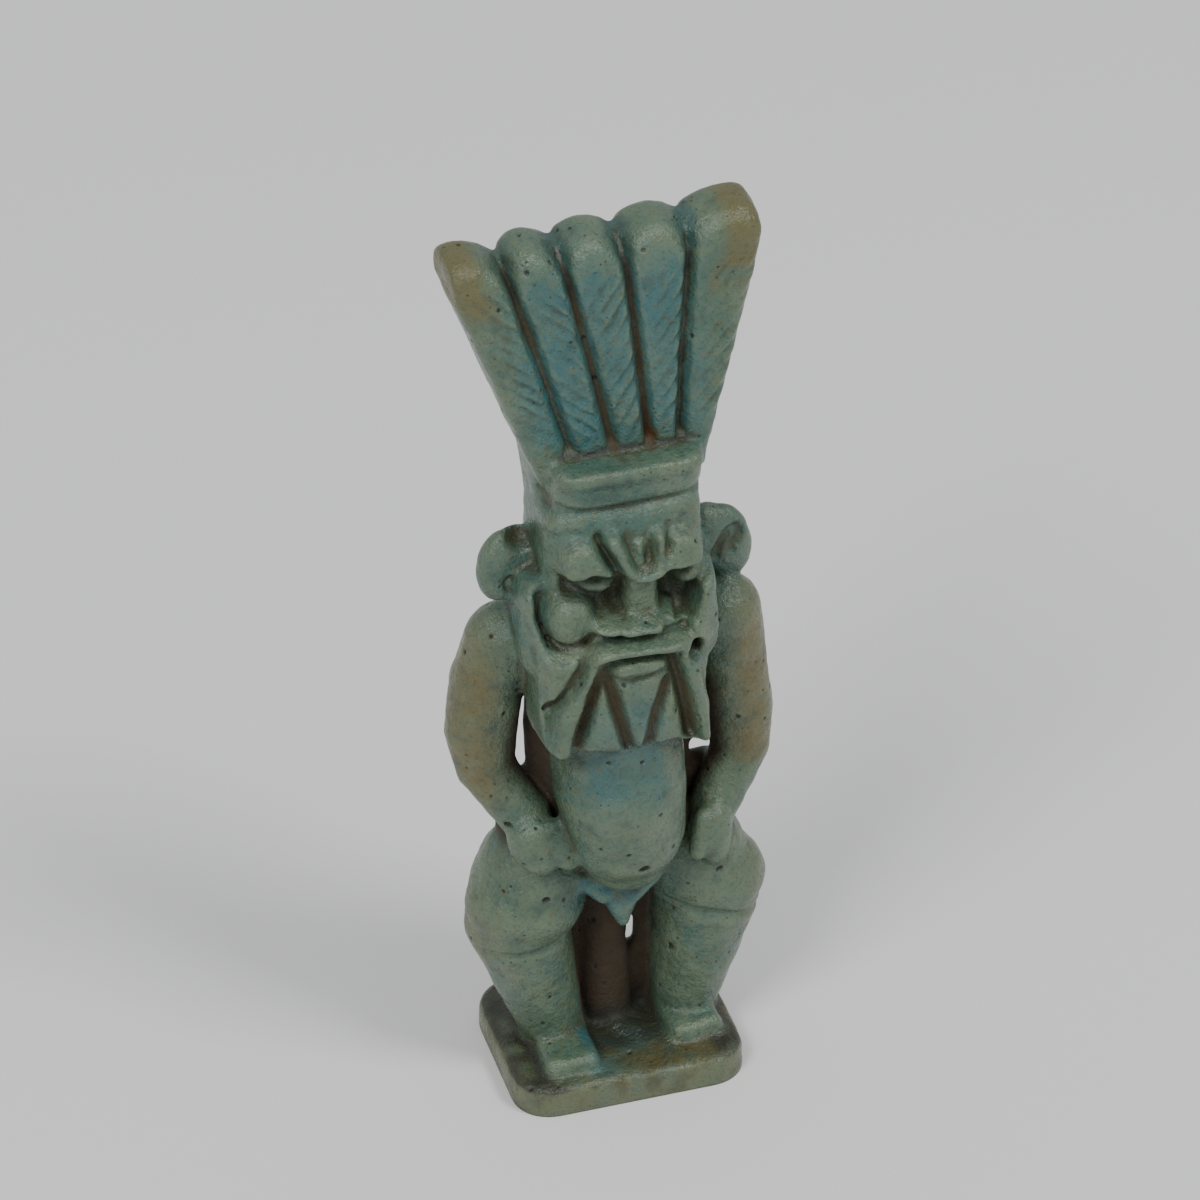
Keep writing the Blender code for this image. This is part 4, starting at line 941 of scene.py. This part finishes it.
def makeFaience():
    material = bpy.data.materials.new("glazedEgyptianFaience")
    material.use_nodes = True
    tree = material.node_tree
    shader = tree.nodes["Principled BSDF"]
    place = addNode(tree, "ShaderNodeTexCoord").outputs["Object"]
    fields = {}
    for name in faience["fields"]:
        fields[name] = addNode(tree, "ShaderNodeAttribute", {"attribute_name": name}).outputs["Fac"]
    for name, (size, detail, start) in faience["clouds"].items():
        settings = {"Location": (start, start * 0.7, -start)}
        spot = addNode(tree, "ShaderNodeMapping", settings, {"Vector": place}).outputs[0]
        settings = {"Scale": 1 / size, "Detail": detail, "Roughness": faience["cloudRoughness"]}
        fields[name] = addNode(tree, "ShaderNodeTexNoise", settings, {"Vector": spot}).outputs["Fac"]
    # dark specks, one in each cell and each of its own size
    cells = addNode(tree, "ShaderNodeTexVoronoi", {"Scale": 1 / faience["speckSpacing"]}, {"Vector": place})
    radius = addNode(tree, "ShaderNodeMath", {"operation": "MULTIPLY", 1: faience["speckSize"]},
                     {0: cells.outputs["Color"]})
    gap = addNode(tree, "ShaderNodeMath", {"operation": "SUBTRACT"},
                  {0: cells.outputs["Distance"], 1: radius.outputs[0]})
    fields["speck"] = gap.outputs[0]
    colour = addNode(tree, "ShaderNodeRGB").outputs[0]
    colour.default_value = linear(faience["glaze"])
    for name, driver, start, end, share in faience["layers"]:
        settings = {"interpolation_type": "SMOOTHSTEP", 1: start, 2: end, 3: 0.0, 4: share}
        amount = addNode(tree, "ShaderNodeMapRange", settings, {0: fields[driver]})
        settings = {"data_type": "RGBA", 7: linear(faience[name])}
        colour = addNode(tree, "ShaderNodeMix", settings, {0: amount.outputs[0], 6: colour}).outputs[2]
    tree.links.new(colour, shader.inputs["Base Color"])
    smooth = faience["roughness"] - faience["roughnessSpread"]
    rough = faience["roughness"] + faience["roughnessSpread"]
    settings = {1: 0.35, 2: 0.65, 3: smooth, 4: rough}
    shine = addNode(tree, "ShaderNodeMapRange", settings, {0: fields["mottle"]})
    earth = addNode(tree, "ShaderNodeMath", {"operation": "MAXIMUM"}, {0: fields["soil"], 1: fields["silt"]})
    matt = addNode(tree, "ShaderNodeMath", {"operation": "MULTIPLY", 1: faience["earthRoughness"]},
                   {0: earth.outputs[0]})
    shine = addNode(tree, "ShaderNodeMath", {"operation": "ADD", "use_clamp": True},
                    {0: shine.outputs[0], 1: matt.outputs[0]})
    tree.links.new(shine.outputs[0], shader.inputs["Roughness"])
    shader.inputs["IOR"].default_value = faience["ior"]
    links = {}
    for name, height in faience["reliefs"].items():
        settings = {"Strength": faience["reliefStrength"], "Distance": height}
        bump = addNode(tree, "ShaderNodeBump", settings, {"Height": fields[name], **links})
        links = {"Normal": bump.outputs[0]}
    tree.links.new(bump.outputs[0], shader.inputs["Normal"])
    return material


studio = {
    "azimuth": -17.0,  # degrees, where the camera stands round the figure and above the table
    "elevation": 36.0,
    "distance": 611.0,  # parts
    "target": (-0.8, 0.0, 54.95),
    "lens": 179.2,  # mm, on a sensor 36 mm wide
    "floor": "#e4e4e3",  # painted table, matt, so that it only takes the soft shadow
    "floorWidth": 3.0,
    "floorRoughness": 0.9,
    "sky": "#f4f6f8",
    "skyStrength": 0.54,
    # azimuth, elevation, how far away, size and watts
    "lamps": [(-50, 48, 0.6, 0.2, 1.7), (46, 54, 0.6, 0.16, 1.6)],
}


def towards(azimuth, elevation):
    a, e = math.radians(azimuth), math.radians(elevation)
    return Vector((math.sin(a) * math.cos(e), -math.cos(a) * math.cos(e), math.sin(e)))


def makeCamera():
    camera = bpy.data.objects.new("camera", bpy.data.cameras.new("camera"))
    bpy.context.scene.collection.objects.link(camera)
    back = towards(studio["azimuth"], studio["elevation"])
    camera.location = toWorld(studio["target"]) + back * studio["distance"] * part
    camera.rotation_euler = back.to_track_quat("Z", "Y").to_euler()
    camera.data.sensor_width = 36
    camera.data.lens = studio["lens"]
    camera.data.clip_start = 0.01
    bpy.context.scene.camera = camera


def makeStudio():
    form = bmesh.new()
    bmesh.ops.create_grid(form, x_segments=1, y_segments=1, size=studio["floorWidth"] / 2)
    mesh = bpy.data.meshes.new("floor")
    form.to_mesh(mesh)
    form.free()
    floor = bpy.data.objects.new("floor", mesh)
    bpy.context.scene.collection.objects.link(floor)
    material = bpy.data.materials.new("paleTable")
    material.use_nodes = True
    shader = material.node_tree.nodes["Principled BSDF"]
    shader.inputs["Base Color"].default_value = linear(studio["floor"])
    shader.inputs["Roughness"].default_value = studio["floorRoughness"]
    shader.inputs["Specular IOR Level"].default_value = 0.1
    mesh.materials.append(material)
    world = bpy.data.worlds.new("softRoom")
    bpy.context.scene.world = world
    world.use_nodes = True
    sky = world.node_tree.nodes["Background"]
    sky.inputs["Color"].default_value = linear(studio["sky"])
    sky.inputs["Strength"].default_value = studio["skyStrength"]
    for azimuth, elevation, away, size, watts in studio["lamps"]:
        light = bpy.data.lights.new("softLamp", "AREA")
        light.size = size
        light.energy = watts
        lamp = bpy.data.objects.new("softLamp", light)
        direction = towards(azimuth, elevation)
        lamp.location = toWorld((0, 0, 50)) + direction * away
        lamp.rotation_euler = direction.to_track_quat("Z", "Y").to_euler()
        bpy.context.scene.collection.objects.link(lamp)


print("stage: camera and studio")
makeCamera()
makeStudio()
print("stage: modelling the figure")
bes = model()
fuse(bes, *figurine["coarseFusing"])
print("stage: carving the forms")
carveForms(bes)
fuse(bes, *figurine["middleFusing"])
print("stage: carving the cuts")
carveCuts(bes)
fuse(bes, *figurine["fineFusing"])
print("stage: fine surface")
carveFine(bes)
thin(bes)
trim(bes)
keepInside(bes)
bes.data.shade_smooth()
print("stage: weathering")
weather(bes)
bes.data.materials.clear()
bes.data.materials.append(makeFaience())
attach(bes, "root")
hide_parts(figurine["node"])

print("stage: finished")
